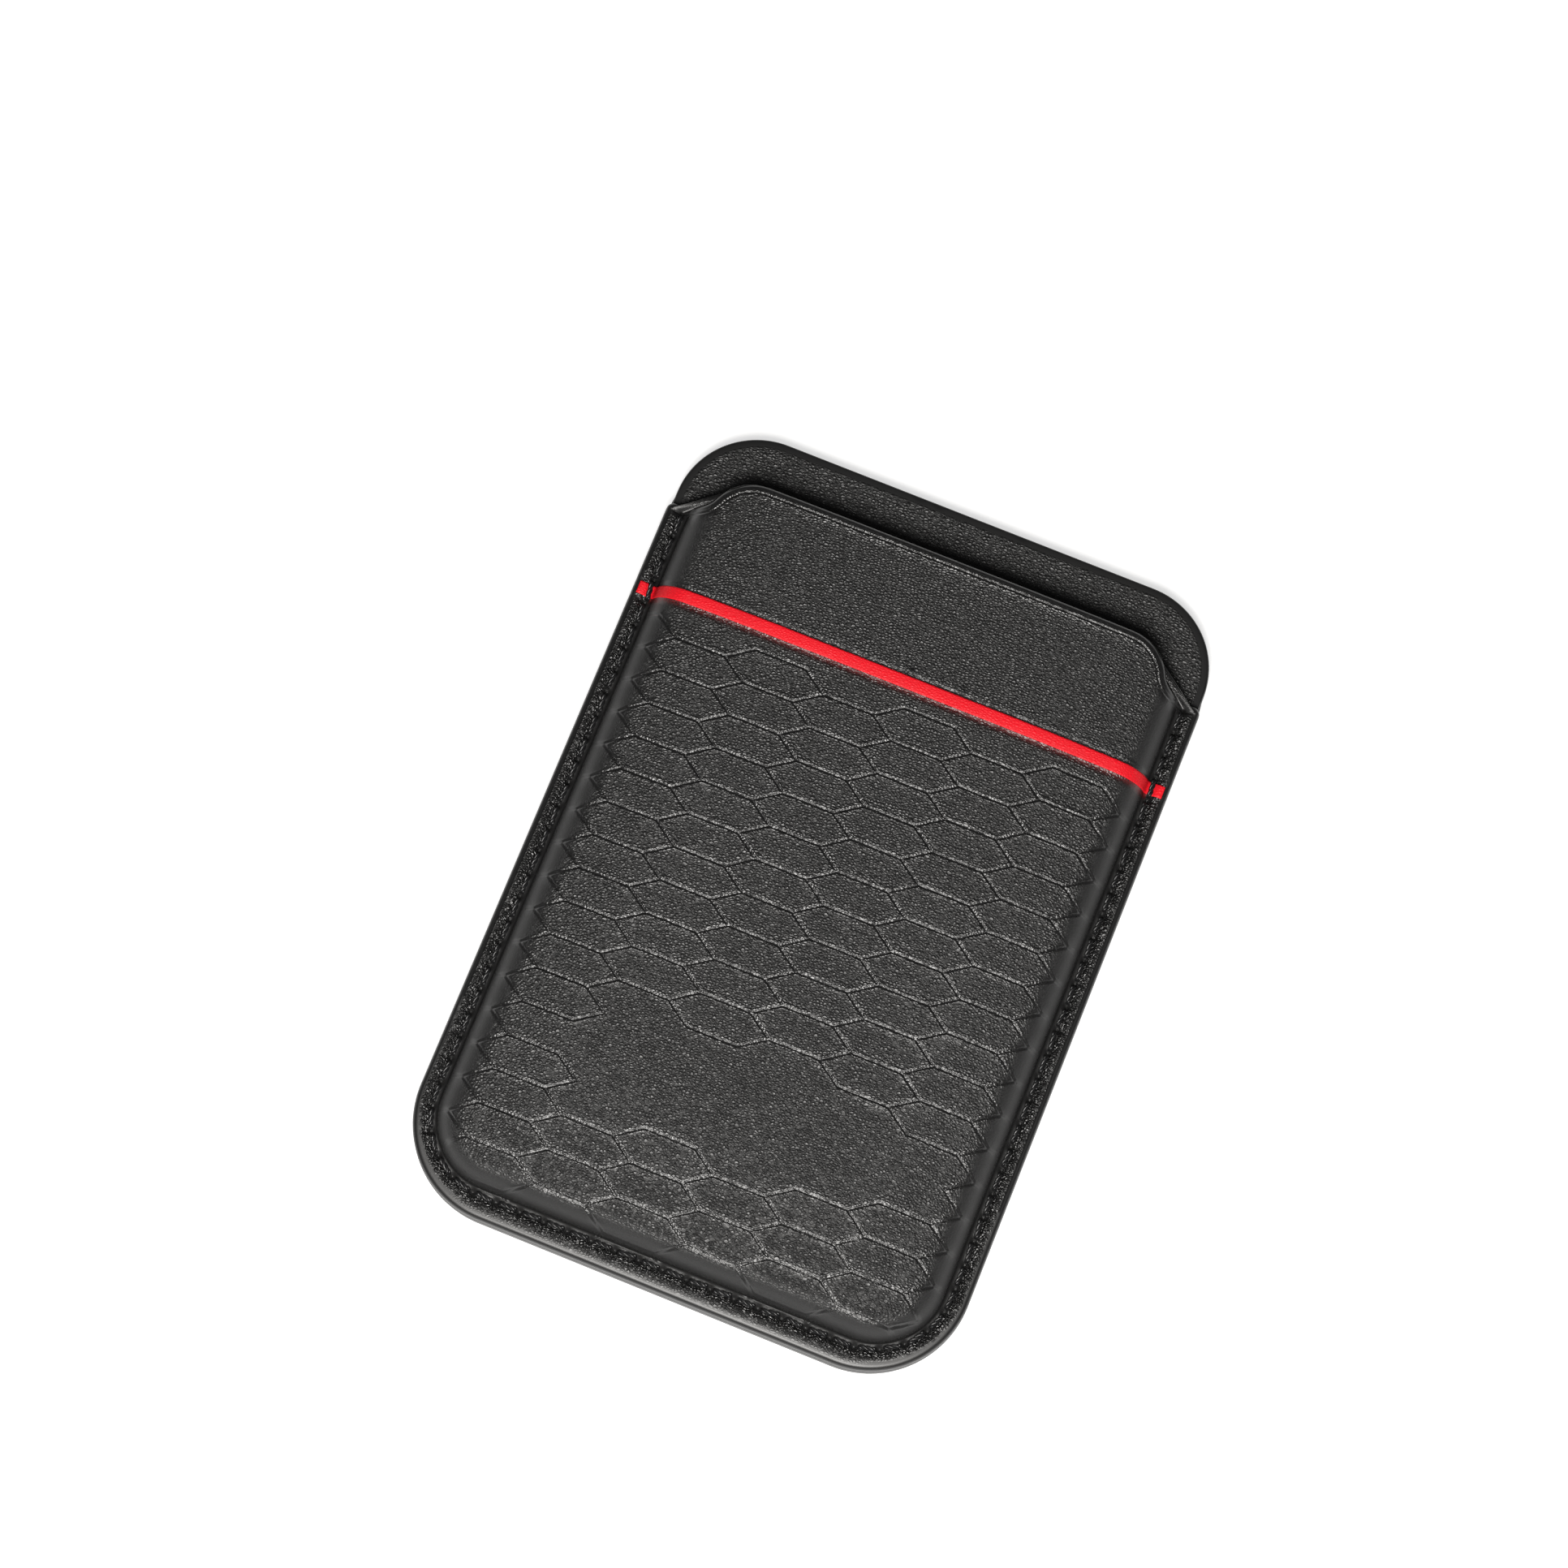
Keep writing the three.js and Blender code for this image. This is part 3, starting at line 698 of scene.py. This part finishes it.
def rimRows(loop, normals, topZ, lowZ, topRound, lowRound, steps):
    # Rounded edge between the upper and the lower boundary: quarter round, straight, quarter round
    rows = []
    for angle in np.linspace(0, math.pi / 2, steps + 1)[1:]:
        out = topRound * math.sin(angle)
        rows.append((loop + normals * out, topZ - topRound * (1 - math.cos(angle))))
    for angle in np.linspace(math.pi / 2, 0, steps + 1)[:-1]:
        out = topRound - lowRound * (1 - math.sin(angle))
        rows.append((loop + normals * out, lowZ + lowRound * (1 - math.cos(angle))))
    return rows


def closeShell(name, top, topZ, under, underZ, rows, attributes, material):
    # Joins a top mesh, rim rows and an underside mesh into one closed piece
    topPlan, topFaces, topOrder = top
    underPlan, underFaces, underOrder = under
    layers = [(topPlan, topZ), (underPlan, underZ)] + rows
    verts = np.concatenate([np.column_stack([plan, np.broadcast_to(z, len(plan))]) for plan, z in layers])
    offset, count = len(topPlan), len(topOrder)
    faces = [tuple(f) for f in topFaces]
    faces += [tuple(offset + i for i in reversed(list(f))) for f in underFaces]
    rowStarts = offset + len(underPlan) + count * np.arange(len(rows))
    loops = [topOrder] + [start + np.arange(count) for start in rowStarts] + [offset + underOrder]
    for upper, lower in zip(loops, loops[1:]):
        faces += zip(np.roll(upper, -1), upper, lower, np.roll(lower, -1))
    filled = {key: np.concatenate([values, np.full(len(verts) - len(values), rest)])
              for key, (values, rest) in attributes.items()}
    return meshObject(name, verts, [tuple(map(int, f)) for f in faces], filled, material)


# Front panel

frontMesh = {
    "edgeRound": 0.6,
    "lowRound": 0.22,
    "edgeSpacing": 0.4,
    "sideSpacing": 1.2,
    "seamSpacing": 0.16,
    "fillSpacing": 0.9,
    "fillAcross": (-31, 31.1),
    "fillLength": (-47, 40.5),
    "wallRings": 16,
    "paintSide": 0.62,
    "paintEnd": 0.95,
    "stainReach": 0.45,
    "stainHalfWidth": 30,
    "seamRows": (-1.4, -1.22, -1.06, -0.92, -0.78, -0.66, -0.54, -0.43,
                 -0.32, -0.22, -0.12, 0, 0.12, 0.22, 0.33, 0.48),
}


def mouthDistance(x, y):
    xs = np.linspace(-holder["halfWidth"], holder["halfWidth"], 400)
    line = np.column_stack([xs, mouthEdge(xs)])
    nearest = np.full(len(x), 1e9)
    near = y > holder["mouth"] - pocket["tabLift"] - 4
    nearest[near] = lineDistance(x[near], y[near], line[:-1], line[1:])
    return nearest


def wellInside(points, margin):
    # Inside the front panel's outline by at least a margin
    x, y = points.T
    turn = pocket["flangeCorner"]
    beside = np.abs(x) - (holder["halfWidth"] - turn)
    above = y - (holder["mouth"] - pocket["tabLift"] - turn)
    inCorner = (beside > 0) & (above > 0)
    inside = (ringDistance(x, y, *ring(0)) < -margin) & (y < mouthEdge(x)) & (mouthDistance(x, y) > margin)
    return inside & ~(inCorner & (np.hypot(beside, above) > turn - margin))


def distanceAlongSeam(x, y, across):
    # How far along the stitch line each point near it lies
    fine = ringLine(*seamRing(0), 0.1)
    travelled = np.concatenate([[0], np.cumsum(np.hypot(*np.diff(fine, axis=0).T))])
    startOff = fine[0][1] - stitchLine[0][1]
    tree = KDTree(len(fine))
    for index, (a, b) in enumerate(fine):
        tree.insert((a, b, 0), index)
    tree.balance()
    along = np.full(len(x), -1e3)
    for index in np.flatnonzero(np.abs(across) < seam["workedReach"]):
        along[index] = travelled[tree.find((x[index], y[index], 0))[1]] - startOff
    return along


def honeycombGuideLines():
    guides = []
    half = honeycomb["halfWidth"]
    for x1, y1, x2, y2 in cells:
        length = math.hypot(x2 - x1, y2 - y1)
        across = np.array([-(y2 - y1), x2 - x1]) / length
        share = np.linspace(0, 1, max(2, int(length / 1.2) + 1))[:, None]
        middle = np.array([x1, y1]) + share * np.array([x2 - x1, y2 - y1])
        for reach in (honeycomb["flatShare"], 1.0, honeycomb["lipReach"], honeycomb["lipFoot"]):
            guides += [middle + across * reach * half, middle - across * reach * half]
    return guides


def frontGuideLines():
    lines = [ringLine(*wallRing(np.interp(step, rollTable, rollInward)), frontMesh["sideSpacing"])
             for step in np.linspace(0, 1, frontMesh["wallRings"] + 1)]
    lines += [ringLine(*seamRing(offset), frontMesh["seamSpacing"]) for offset in frontMesh["seamRows"]]
    xs = np.arange(-stripe["reach"], stripe["reach"], 0.7)
    lines += [np.column_stack([xs, np.full(len(xs), stripe["middle"] + at)]) for at in stripeProfile["at"]]
    mouthXs = np.linspace(-holder["halfWidth"] + 0.5, holder["halfWidth"] - 0.5, 300)
    mouthLine = np.column_stack([mouthXs, mouthEdge(mouthXs)])
    inward = np.gradient(mouthLine, axis=0)
    inward = np.column_stack([inward[:, 1], -inward[:, 0]]) / np.linalg.norm(inward, axis=1)[:, None]
    lines += [mouthLine + inward * (crease["inset"] + row * crease["half"]) for row in crease["rows"]]
    return lines + honeycombGuideLines()


def frontMasks(x, y, share, across, mouthAway):
    # Where the leather is painted, stretched, stained, pressed or gathered, and each one's value off the top
    edgeAway = -ringDistance(x, y, *ring(0))
    atEnd = smooth(-y, holder["halfLength"] - 12, holder["halfLength"] - 4)
    paintBand = frontMesh["paintSide"] + (frontMesh["paintEnd"] - frontMesh["paintSide"]) * atEnd
    mouthBand = crease["mouthPaint"] + 0.9 * (1 - smooth(share, 0.1, 0.5))
    paint = np.maximum(1 - smooth(edgeAway, paintBand, paintBand + 0.15),
                       1 - smooth(mouthAway, mouthBand, mouthBand + 0.12))
    onWall = smooth(share, 0.02, 0.1) * (1 - smooth(share, 0.4, 0.75))
    inGroove = smooth(across, -0.15, 0.1) * (share < 0.02)
    belowStripe = stripe["middle"] - stripe["half"] - y
    stain = np.exp(-(np.maximum(belowStripe, 0) / frontMesh["stainReach"]) ** 2)
    stain = np.where(belowStripe > -0.3, stain, 0) * (np.abs(x) < frontMesh["stainHalfWidth"])
    onFace = smooth(share, 0.7, 1.0)
    pressShare = onFace + honeycomb["onWall"] * smooth(share, 0.02, 0.3) * (1 - onFace)
    fromStripe = np.abs(y - stripe["middle"] - 0.5 * (stripeProfile["at"][0] + stripeProfile["at"][-1]))
    pressed = np.maximum(1 - smooth(np.abs(mouthAway - crease["inset"]), 0.35, 0.55),
                         0.7 * (1 - smooth(fromStripe, 1.35, 1.65)) * (np.abs(x) < stripe["reach"]))
    gathered = smooth(across, -1.3, -0.9) * (1 - smooth(across, -0.35, -0.1)) * (y < stitchLineTop + 0.6)
    return {
        "paint": (paint, 1.0),
        "stretch": (np.maximum(onWall, inGroove), 0.0),
        "stain": (stain, 0.0),
        "pressed": (pressed, 0.0),
        "gathered": (gathered, 0.0),
        "pressShare": (pressShare, 0.0),
    }


def makeFrontPanel():
    outline = frontOutline(frontMesh["edgeSpacing"])
    normals = outwardNormals(outline)
    loop = outline - normals * frontMesh["edgeRound"]
    lines = keepStretches(frontGuideLines(), lambda points: wellInside(points, frontMesh["edgeRound"] + 0.12))
    fillers = fillPoints(frontMesh["fillAcross"], frontMesh["fillLength"], frontMesh["fillSpacing"])
    fillers[:, 0] += 0.3 * (fillers[:, 1] % 2 > 1)
    fillers = fillers[wellInside(fillers, frontMesh["edgeRound"] + 0.3)]
    top = triangulate(loop, lines, fillers)
    x, y = top[0].T
    mouthAway = mouthDistance(x, y)
    across = -ringDistance(x, y, *seamRing(0))
    z, share = outerHeight(x, y, mouthAway, distanceAlongSeam(x, y, across))
    lowLoop = outline - normals * frontMesh["lowRound"]
    innerLines = [ringLine(*wallRing(np.interp(step, rollTable, rollInward), True), 2.5)
                  for step in np.linspace(0, 1, 9)]
    innerLines = keepStretches(innerLines, lambda points: wellInside(points, 0.5))
    under = triangulate(lowLoop, innerLines, fillers[::9][wellInside(fillers[::9], 1.2)])
    underZ = innerHeight(*under[0].T)
    rows = rimRows(loop, normals, z[top[2]], underZ[under[2]], frontMesh["edgeRound"], frontMesh["lowRound"], 6)
    masks = frontMasks(x, y, share, across, mouthAway)
    return closeShell("frontPanelBlank", top, z, under, underZ, rows, masks, frontLeather)


def newTree(name, inputs):
    tree = bpy.data.node_groups.new(name, "GeometryNodeTree")
    for label, kind in (("Geometry", "Geometry"),) + inputs:
        tree.interface.new_socket(label, in_out="INPUT", socket_type="NodeSocket" + kind)
    tree.interface.new_socket("Geometry", in_out="OUTPUT", socket_type="NodeSocketGeometry")
    return tree, tree.nodes.new("NodeGroupInput").outputs


def endTree(tree, geometry, material):
    real = addNode(tree, "GeometryNodeRealizeInstances", {"Geometry": geometry})
    dyed = addNode(tree, "GeometryNodeSetMaterial", {"Geometry": real.outputs[0], "Material": material})
    addNode(tree, "NodeGroupOutput", {"Geometry": dyed.outputs[0]})
    return tree


def runTree(piece, tree, values, name, material):
    # The tree's result as a mesh of its own, with the modifier gone
    maker = piece.modifiers.new(name, "NODES")
    maker.node_group = tree
    values["Material"] = material
    for item in tree.interface.items_tree:
        if item.in_out == "INPUT" and item.name in values:
            maker[item.identifier] = values[item.name]
    graph = bpy.context.evaluated_depsgraph_get()
    mesh = bpy.data.meshes.new_from_object(piece.evaluated_get(graph), depsgraph=graph)
    mesh.name = name
    mesh.materials.clear()
    mesh.materials.append(material)
    mesh.polygons.foreach_set("use_smooth", [True] * len(mesh.polygons))
    bpy.data.objects.remove(piece)
    return newObject(name, mesh)


def pressTree():
    # Presses a pattern of lines into the leather, with a low raised lip along each side
    tree, given = newTree("pressHoneycomb", (("Lines", "Object"), ("Half Width", "Float"), ("Depth", "Float"),
                                             ("Lip", "Float"), ("Material", "Material")))
    lines = addNode(tree, "GeometryNodeObjectInfo", {"Object": given["Lines"]}).outputs["Geometry"]
    place = addNode(tree, "GeometryNodeInputPosition").outputs[0]
    inPlan = addVector(tree, "MULTIPLY", {0: place, 1: (1, 1, 0)})
    nearest = addNode(tree, "GeometryNodeProximity", {0: lines, 2: inPlan}, target_element="EDGES")
    reach = addMath(tree, "DIVIDE", nearest.outputs["Distance"], given["Half Width"])
    slope = 1 - honeycomb["flatShare"]
    press = addMath(tree, "DIVIDE", addMath(tree, "SUBTRACT", 1.0, reach), slope, clamp=True)
    fromLip = addMath(tree, "ABSOLUTE", addMath(tree, "SUBTRACT", reach, honeycomb["lipReach"]))
    lipHalf = honeycomb["lipFoot"] - honeycomb["lipReach"]
    lip = addMath(tree, "SUBTRACT", 1.0, addMath(tree, "DIVIDE", fromLip, lipHalf), clamp=True)
    raised = addMath(tree, "MULTIPLY", lip, given["Lip"])
    height = addMath(tree, "SUBTRACT", raised, addMath(tree, "MULTIPLY", press, given["Depth"]))
    share, before = (
        addNode(tree, "GeometryNodeInputNamedAttribute", {"Name": mask}, data_type="FLOAT").outputs[0]
        for mask in ("pressShare", "pressed"))
    facing = addNode(tree, "GeometryNodeInputNormal").outputs[0]
    offset = addVector(tree, "SCALE", {0: facing, "Scale": addMath(tree, "MULTIPLY", height, share)})
    beside = addMath(tree, "SUBTRACT", honeycomb["lipFoot"] + 0.5, reach, clamp=True)
    pressed = addMath(tree, "MAXIMUM", before, addMath(tree, "MULTIPLY", beside, share))
    marked = addNode(tree, "GeometryNodeStoreNamedAttribute",
                     {"Geometry": given["Geometry"], "Name": "pressed", "Value": pressed},
                     data_type="FLOAT", domain="POINT")
    moved = addNode(tree, "GeometryNodeSetPosition", {"Geometry": marked.outputs[0], "Offset": offset})
    return endTree(tree, moved.outputs[0], given["Material"])


def pressHoneycomb(blank):
    lineMesh = bpy.data.meshes.new("honeycombLines")
    ends = [(x * mm, y * mm, 0) for x1, y1, x2, y2 in cells for x, y in ((x1, y1), (x2, y2))]
    lineMesh.from_pydata(ends, [(i, i + 1) for i in range(0, len(ends), 2)], [])
    lines = newObject("honeycombLines", lineMesh)
    values = {
        "Lines": lines,
        "Half Width": honeycomb["halfWidth"] * mm,
        "Depth": honeycomb["depth"] * mm,
        "Lip": honeycomb["lip"] * mm,
    }
    made = runTree(blank, pressTree(), values, "frontLeather", frontLeather)
    bpy.data.objects.remove(lines)
    return made


frontPanel = pressHoneycomb(makeFrontPanel())
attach(frontPanel, "root")
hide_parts("front_panel")
print("front panel:", len(frontPanel.data.polygons), "faces")


# Red stripe, laid in its channel

stripeMesh = {
    "thickness": 0.2,
    "crown": 0.035,
    "proud": 0.045,
    "widthShare": 0.98,  # of its channel
    "stepsAcross": 8,
    "spacing": 0.16,
}


def makeStripe():
    count = int(2 * stripe["reach"] / stripeMesh["spacing"])
    xs = np.linspace(-stripe["reach"], stripe["reach"], count)
    across = np.linspace(-1, 1, stripeMesh["stepsAcross"] + 1)
    gridX, gridT = np.meshgrid(xs, across, indexing="ij")
    gridY = stripe["middle"] + gridT * stripe["half"] * stripeMesh["widthShare"]
    x, y = gridX.ravel(), gridY.ravel()
    z = outerHeight(x, y, np.full(len(x), 50.0), np.full(len(x), -1e3))[0]
    slope = np.gradient(z.reshape(gridX.shape), xs, axis=0).ravel()
    lift = stripeMesh["proud"] + stripeMesh["crown"] * (1 - gridT.ravel() ** 2)
    size = np.sqrt(1 + slope ** 2)
    ends = smooth(stripe["reach"] - np.abs(x), 0.0, 0.25)
    topSide = np.column_stack([x - slope / size * lift, y, z + lift * ends / size])
    deep = stripeMesh["thickness"] - stripeMesh["proud"]
    lowSide = np.column_stack([x + slope / size * deep, y, z - deep / size])
    rows, columns = gridX.shape
    total = rows * columns
    faces = []
    for i in range(rows - 1):
        for j in range(columns - 1):
            a = i * columns + j
            faces.append((a, a + columns, a + columns + 1, a + 1))
            faces.append((total + a, total + a + 1, total + a + columns + 1, total + a + columns))
    for i in range(rows - 1):
        a, b = i * columns, (i + 1) * columns
        faces.append((a, total + a, total + b, b))
        c, d = a + columns - 1, b + columns - 1
        faces.append((c, d, total + d, total + c))
    for j in range(columns - 1):
        faces.append((j, j + 1, total + j + 1, total + j))
        e = (rows - 1) * columns + j
        faces.append((e, total + e, total + e + 1, e + 1))
    return meshObject("redStripe", np.concatenate([topSide, lowSide]), faces, {}, redInlay)


redStripe = makeStripe()
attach(redStripe, "root")
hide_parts("red_stripe")
print("stripe laid")


# Back layers: inner leather, painted edge and rear cover

backLayers = {
    "edgeSpacing": 0.6,
    "paint": 0.85,
    "fillSpacing": 2.5,
    "fillAcross": (-31, 31.1),
    "fillLength": (-46, 46.1),
}


def makeLayer(name, lowZ, highZ, topRound, lowRound, material, paintTop):
    outline = backOutline(backLayers["edgeSpacing"])
    normals = outwardNormals(outline)
    loop = outline - normals * topRound
    lowLoop = outline - normals * lowRound
    fillers = fillPoints(backLayers["fillAcross"], backLayers["fillLength"], backLayers["fillSpacing"])
    bands = [outline - normals * inset for inset in (backLayers["paint"], backLayers["paint"] + 0.25, 1.6)]
    bands = [np.concatenate([band, band[:1]]) for band in bands]
    top = triangulate(loop, bands, fillers[insideLoop(fillers, loop, 2.0)])
    under = triangulate(lowLoop, [], fillers[insideLoop(fillers, lowLoop, 2.0)])
    rows = rimRows(loop, normals, highZ, lowZ, topRound, lowRound, 5)
    away = lineDistance(*top[0].T, outline, np.roll(outline, -1, axis=0))
    paint = (1 - smooth(away, backLayers["paint"], backLayers["paint"] + 0.2)) * paintTop
    masks = {"paint": (paint, 1.0), "stretch": (np.zeros(len(away)), 0.0)}
    return closeShell(name, top, highZ, under, lowZ, rows, masks, material)


backPanel = makeLayer("backLeather", backLow.z / mm, backHigh.z / mm, 0.34, 0.08, backLeather, 1.0)
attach(backPanel, "root")
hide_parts("back_panel")

rearCover = makeLayer("rearCover", coverLow.z / mm, coverHigh.z / mm, 0.08, 0.3, rearLeather, 0.0)
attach(rearCover, "root")
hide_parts("rear_cover")
print("back layers made")


def makeEdgePaint():
    # The edge paint that covers the board's side between the two leathers
    outline = backOutline(backLayers["edgeSpacing"])
    normals = outwardNormals(outline)
    low, high = coverHigh.z / mm - 0.1, backLow.z / mm + 0.12
    verts, count = [], len(outline)
    section = [(math.sin(math.pi * t) * 0.06, low + (high - low) * t) for t in np.linspace(0, 1, 7)]
    section += [(-0.12, high), (-0.12, low)]
    for out, z in section:
        verts.append(np.column_stack([outline + normals * out, np.full(count, z)]))
    faces = []
    for row in range(len(section)):
        ahead = (row + 1) % len(section)
        for i in range(count):
            j = (i + 1) % count
            faces.append((row * count + i, row * count + j, ahead * count + j, ahead * count + i))
    total = len(section) * count
    attributes = {"paint": np.ones(total), "stretch": np.zeros(total)}
    return meshObject("edgePaint", np.concatenate(verts), faces, attributes, backLeather)


edgePaint = makeEdgePaint()
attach(edgePaint, "root")


# Stitches: one twisted stitch, repeated along the seam by a node tree

stitch = {
    "plies": 3,
    "plyRadius": 0.17,
    "twistRadius": 0.15,
    "twistPitch": 2.4,
    "half": 1.14,
    "dive": 0.8,
    "rise": 0.27,
    "rows": 24,
    "sides": 8,
    "lean": 0.12,
    "sizeSpread": 0.1,
    "seed": 11,
}


def makeOneStitch():
    verts, faces = [], []
    for ply in range(stitch["plies"]):
        start = len(verts)
        for row in range(stitch["rows"] + 1):
            along = -1 + 2 * row / stitch["rows"]
            x = stitch["half"] * math.sin(along * math.pi / 2)
            z = stitch["rise"] - stitch["dive"] * abs(along) ** 5
            angle = 2 * math.pi * (x / stitch["twistPitch"] + ply / stitch["plies"])
            plump = 1 - 0.25 * abs(along) ** 4
            cy = stitch["twistRadius"] * math.cos(angle) * plump
            cz = z + stitch["twistRadius"] * math.sin(angle) * plump
            for side in range(stitch["sides"]):
                a = 2 * math.pi * side / stitch["sides"]
                verts.append((x, cy + stitch["plyRadius"] * math.cos(a) * plump,
                              cz + stitch["plyRadius"] * math.sin(a) * plump))
        for row in range(stitch["rows"]):
            for side in range(stitch["sides"]):
                a = start + row * stitch["sides"] + side
                b = start + row * stitch["sides"] + (side + 1) % stitch["sides"]
                faces.append((a, b, b + stitch["sides"], a + stitch["sides"]))
        faces.append(tuple(reversed(range(start, start + stitch["sides"]))))
        last = start + stitch["rows"] * stitch["sides"]
        faces.append(tuple(range(last, last + stitch["sides"])))
    return meshObject("oneStitch", verts, faces, {}, waxedThread)


def seamCurve():
    middles = pathPoints(stitchLine, (np.arange(stitchCount) + 0.5) * seamLength / stitchCount)[0]
    curve = bpy.data.curves.new("seamLine", "CURVE")
    curve.dimensions = "3D"
    spline = curve.splines.new("POLY")
    spline.points.add(len(middles) - 1)
    z = holder["flangeTop"] - seam["grooveDepth"]
    for point, (x, y) in zip(spline.points, middles):
        point.co = (x * mm, y * mm, z * mm, 1)
    return newObject("seamStitches", curve)


def stitchTree():
    tree, given = newTree("stitchesAlongSeam", (("Stitch", "Object"), ("Lean", "Float"), ("Seed", "Int"),
                                                ("Size Spread", "Float"), ("Material", "Material")))
    points = addNode(tree, "GeometryNodeCurveToPoints", {"Curve": given["Geometry"]}, mode="EVALUATED").outputs
    facing = addNode(tree, "FunctionNodeAlignRotationToVector", {"Vector": points["Tangent"]},
                     axis="X", pivot_axis="Z").outputs[0]
    widest = addMath(tree, "MULTIPLY", given["Lean"], -1.0)
    lean = addNode(tree, "FunctionNodeRandomValue", {2: widest, 3: given["Lean"], "Seed": given["Seed"]},
                   data_type="FLOAT").outputs[1]
    leanTurn = addNode(tree, "ShaderNodeCombineXYZ", {"Z": lean}).outputs[0]
    turned = addNode(tree, "FunctionNodeRotateRotation", {"Rotation": facing, "Rotate By": leanTurn},
                     rotation_space="LOCAL").outputs[0]
    smallest = addMath(tree, "SUBTRACT", 1.0, given["Size Spread"])
    size = addNode(tree, "FunctionNodeRandomValue", {2: smallest, 3: 1.0, "Seed": given["Seed"]},
                   data_type="FLOAT").outputs[1]
    shape = addNode(tree, "GeometryNodeObjectInfo", {"Object": given["Stitch"]}).outputs["Geometry"]
    copies = addNode(tree, "GeometryNodeInstanceOnPoints",
                     {"Points": points["Points"], "Instance": shape, "Rotation": turned, "Scale": size})
    return endTree(tree, copies.outputs[0], given["Material"])


def makeStitches():
    one = makeOneStitch()
    values = {
        "Stitch": one,
        "Lean": stitch["lean"],
        "Size Spread": stitch["sizeSpread"],
        "Seed": stitch["seed"],
    }
    made = runTree(seamCurve(), stitchTree(), values, "needleThread", waxedThread)
    bpy.data.objects.remove(one)
    return made


needleThread = makeStitches()
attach(needleThread, "root")
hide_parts("needle_thread")
print("stitches:", stitchCount)


# Hidden pieces keep their solids and get their own finish

def finishHiddenPieces():
    board = speckledMaterial("fibreBoard", (0.012, 0.012, 0.013, 1), (0.03, 0.03, 0.031, 1), 900.0, 0.6)
    nickel = speckledMaterial("nickelPlate", (0.55, 0.55, 0.56, 1), (0.7, 0.69, 0.66, 1), 500.0, 0.15,
                              metallic=1.0, depth=0.000005)
    steel = speckledMaterial("shieldSteel", (0.4, 0.4, 0.41, 1), (0.56, 0.56, 0.55, 1), 700.0, 0.28,
                             metallic=1.0, depth=0.000005)
    finishes = {"stiffener": board, "shield_ring": steel, "bobbin_thread": waxedThread}
    for name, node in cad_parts.items():
        finish = nickel if "magnet" in name else finishes.get(name)
        if finish:
            node.data.materials.clear()
            node.data.materials.append(finish)


finishHiddenPieces()
print("hidden pieces finished")


# Floor, lamps and world

studio = {
    "floorSize": 3.0,
    "floorDrop": 0.00002,
    "floorColour": (0.6, 0.6, 0.6, 1),
    "floorGlow": 0.67,  # what the camera and reflections see on top of the floor's own colour
    "keyPlace": (0.05, -0.215, 0.4),
    "keySize": 0.16,
    "keyPower": 1.85,
    "lowPlace": (0.0, -0.085, 0.2),  # a weak lamp close over the lower end
    "lowSize": 0.1,
    "lowPower": 0.27,
    "lampColour": (1.0, 0.98, 0.95),
    "worldLevel": 0.05,
}


def makeFloor():
    size = studio["floorSize"]
    mesh = bpy.data.meshes.new("floor")
    corners = [(-size, -size), (size, -size), (size, size), (-size, size)]
    mesh.from_pydata([(x, y, -studio["floorDrop"]) for x, y in corners], [], [(0, 1, 2, 3)])
    material, tree, shader = startMaterial("paleFloor", Roughness=0.9, Specular_IOR_Level=0.0)
    shader.inputs["Base Color"].default_value = studio["floorColour"]
    path = addNode(tree, "ShaderNodeLightPath").outputs
    mirrored = addMath(tree, "MAXIMUM", path["Is Glossy Ray"], path["Is Transmission Ray"])
    seen = addMath(tree, "MAXIMUM", path["Is Camera Ray"], mirrored)
    glow = addNode(tree, "ShaderNodeEmission", {"Strength": studio["floorGlow"]})
    nothing = addNode(tree, "ShaderNodeEmission", {"Strength": 0.0})
    extra = addNode(tree, "ShaderNodeMixShader", {0: seen, 1: nothing.outputs[0], 2: glow.outputs[0]})
    both = addNode(tree, "ShaderNodeAddShader", {0: shader.outputs[0], 1: extra.outputs[0]})
    plug(tree, tree.nodes["Material Output"].inputs["Surface"], both.outputs[0])
    mesh.materials.append(material)
    floor = newObject("floor", mesh)


def makeLamp(name, place, target, size, power):
    data = bpy.data.lights.new(name, "AREA")
    data.shape = "SQUARE"
    data.size = size
    data.energy = power
    data.color = studio["lampColour"]
    lamp = newObject(name, data)
    lamp.location = place
    lamp.rotation_mode = "QUATERNION"
    lamp.rotation_quaternion = (Vector(target) - Vector(place)).to_track_quat("-Z", "Y")


def makeWorld():
    world = bpy.data.worlds.new("paleStudio")
    world.use_nodes = True
    bpy.context.scene.world = world
    sky = world.node_tree.nodes["Background"]
    sky.inputs["Color"].default_value = (1, 1, 1, 1)
    sky.inputs["Strength"].default_value = studio["worldLevel"]


makeFloor()
makeLamp("keySoftbox", studio["keyPlace"], (0, 0, 0), studio["keySize"], studio["keyPower"])
makeLamp("lowSoftbox", studio["lowPlace"], (0, -0.04, 0), studio["lowSize"], studio["lowPower"])
makeWorld()
bpy.context.scene.view_settings.view_transform = "Standard"
print("studio lit")
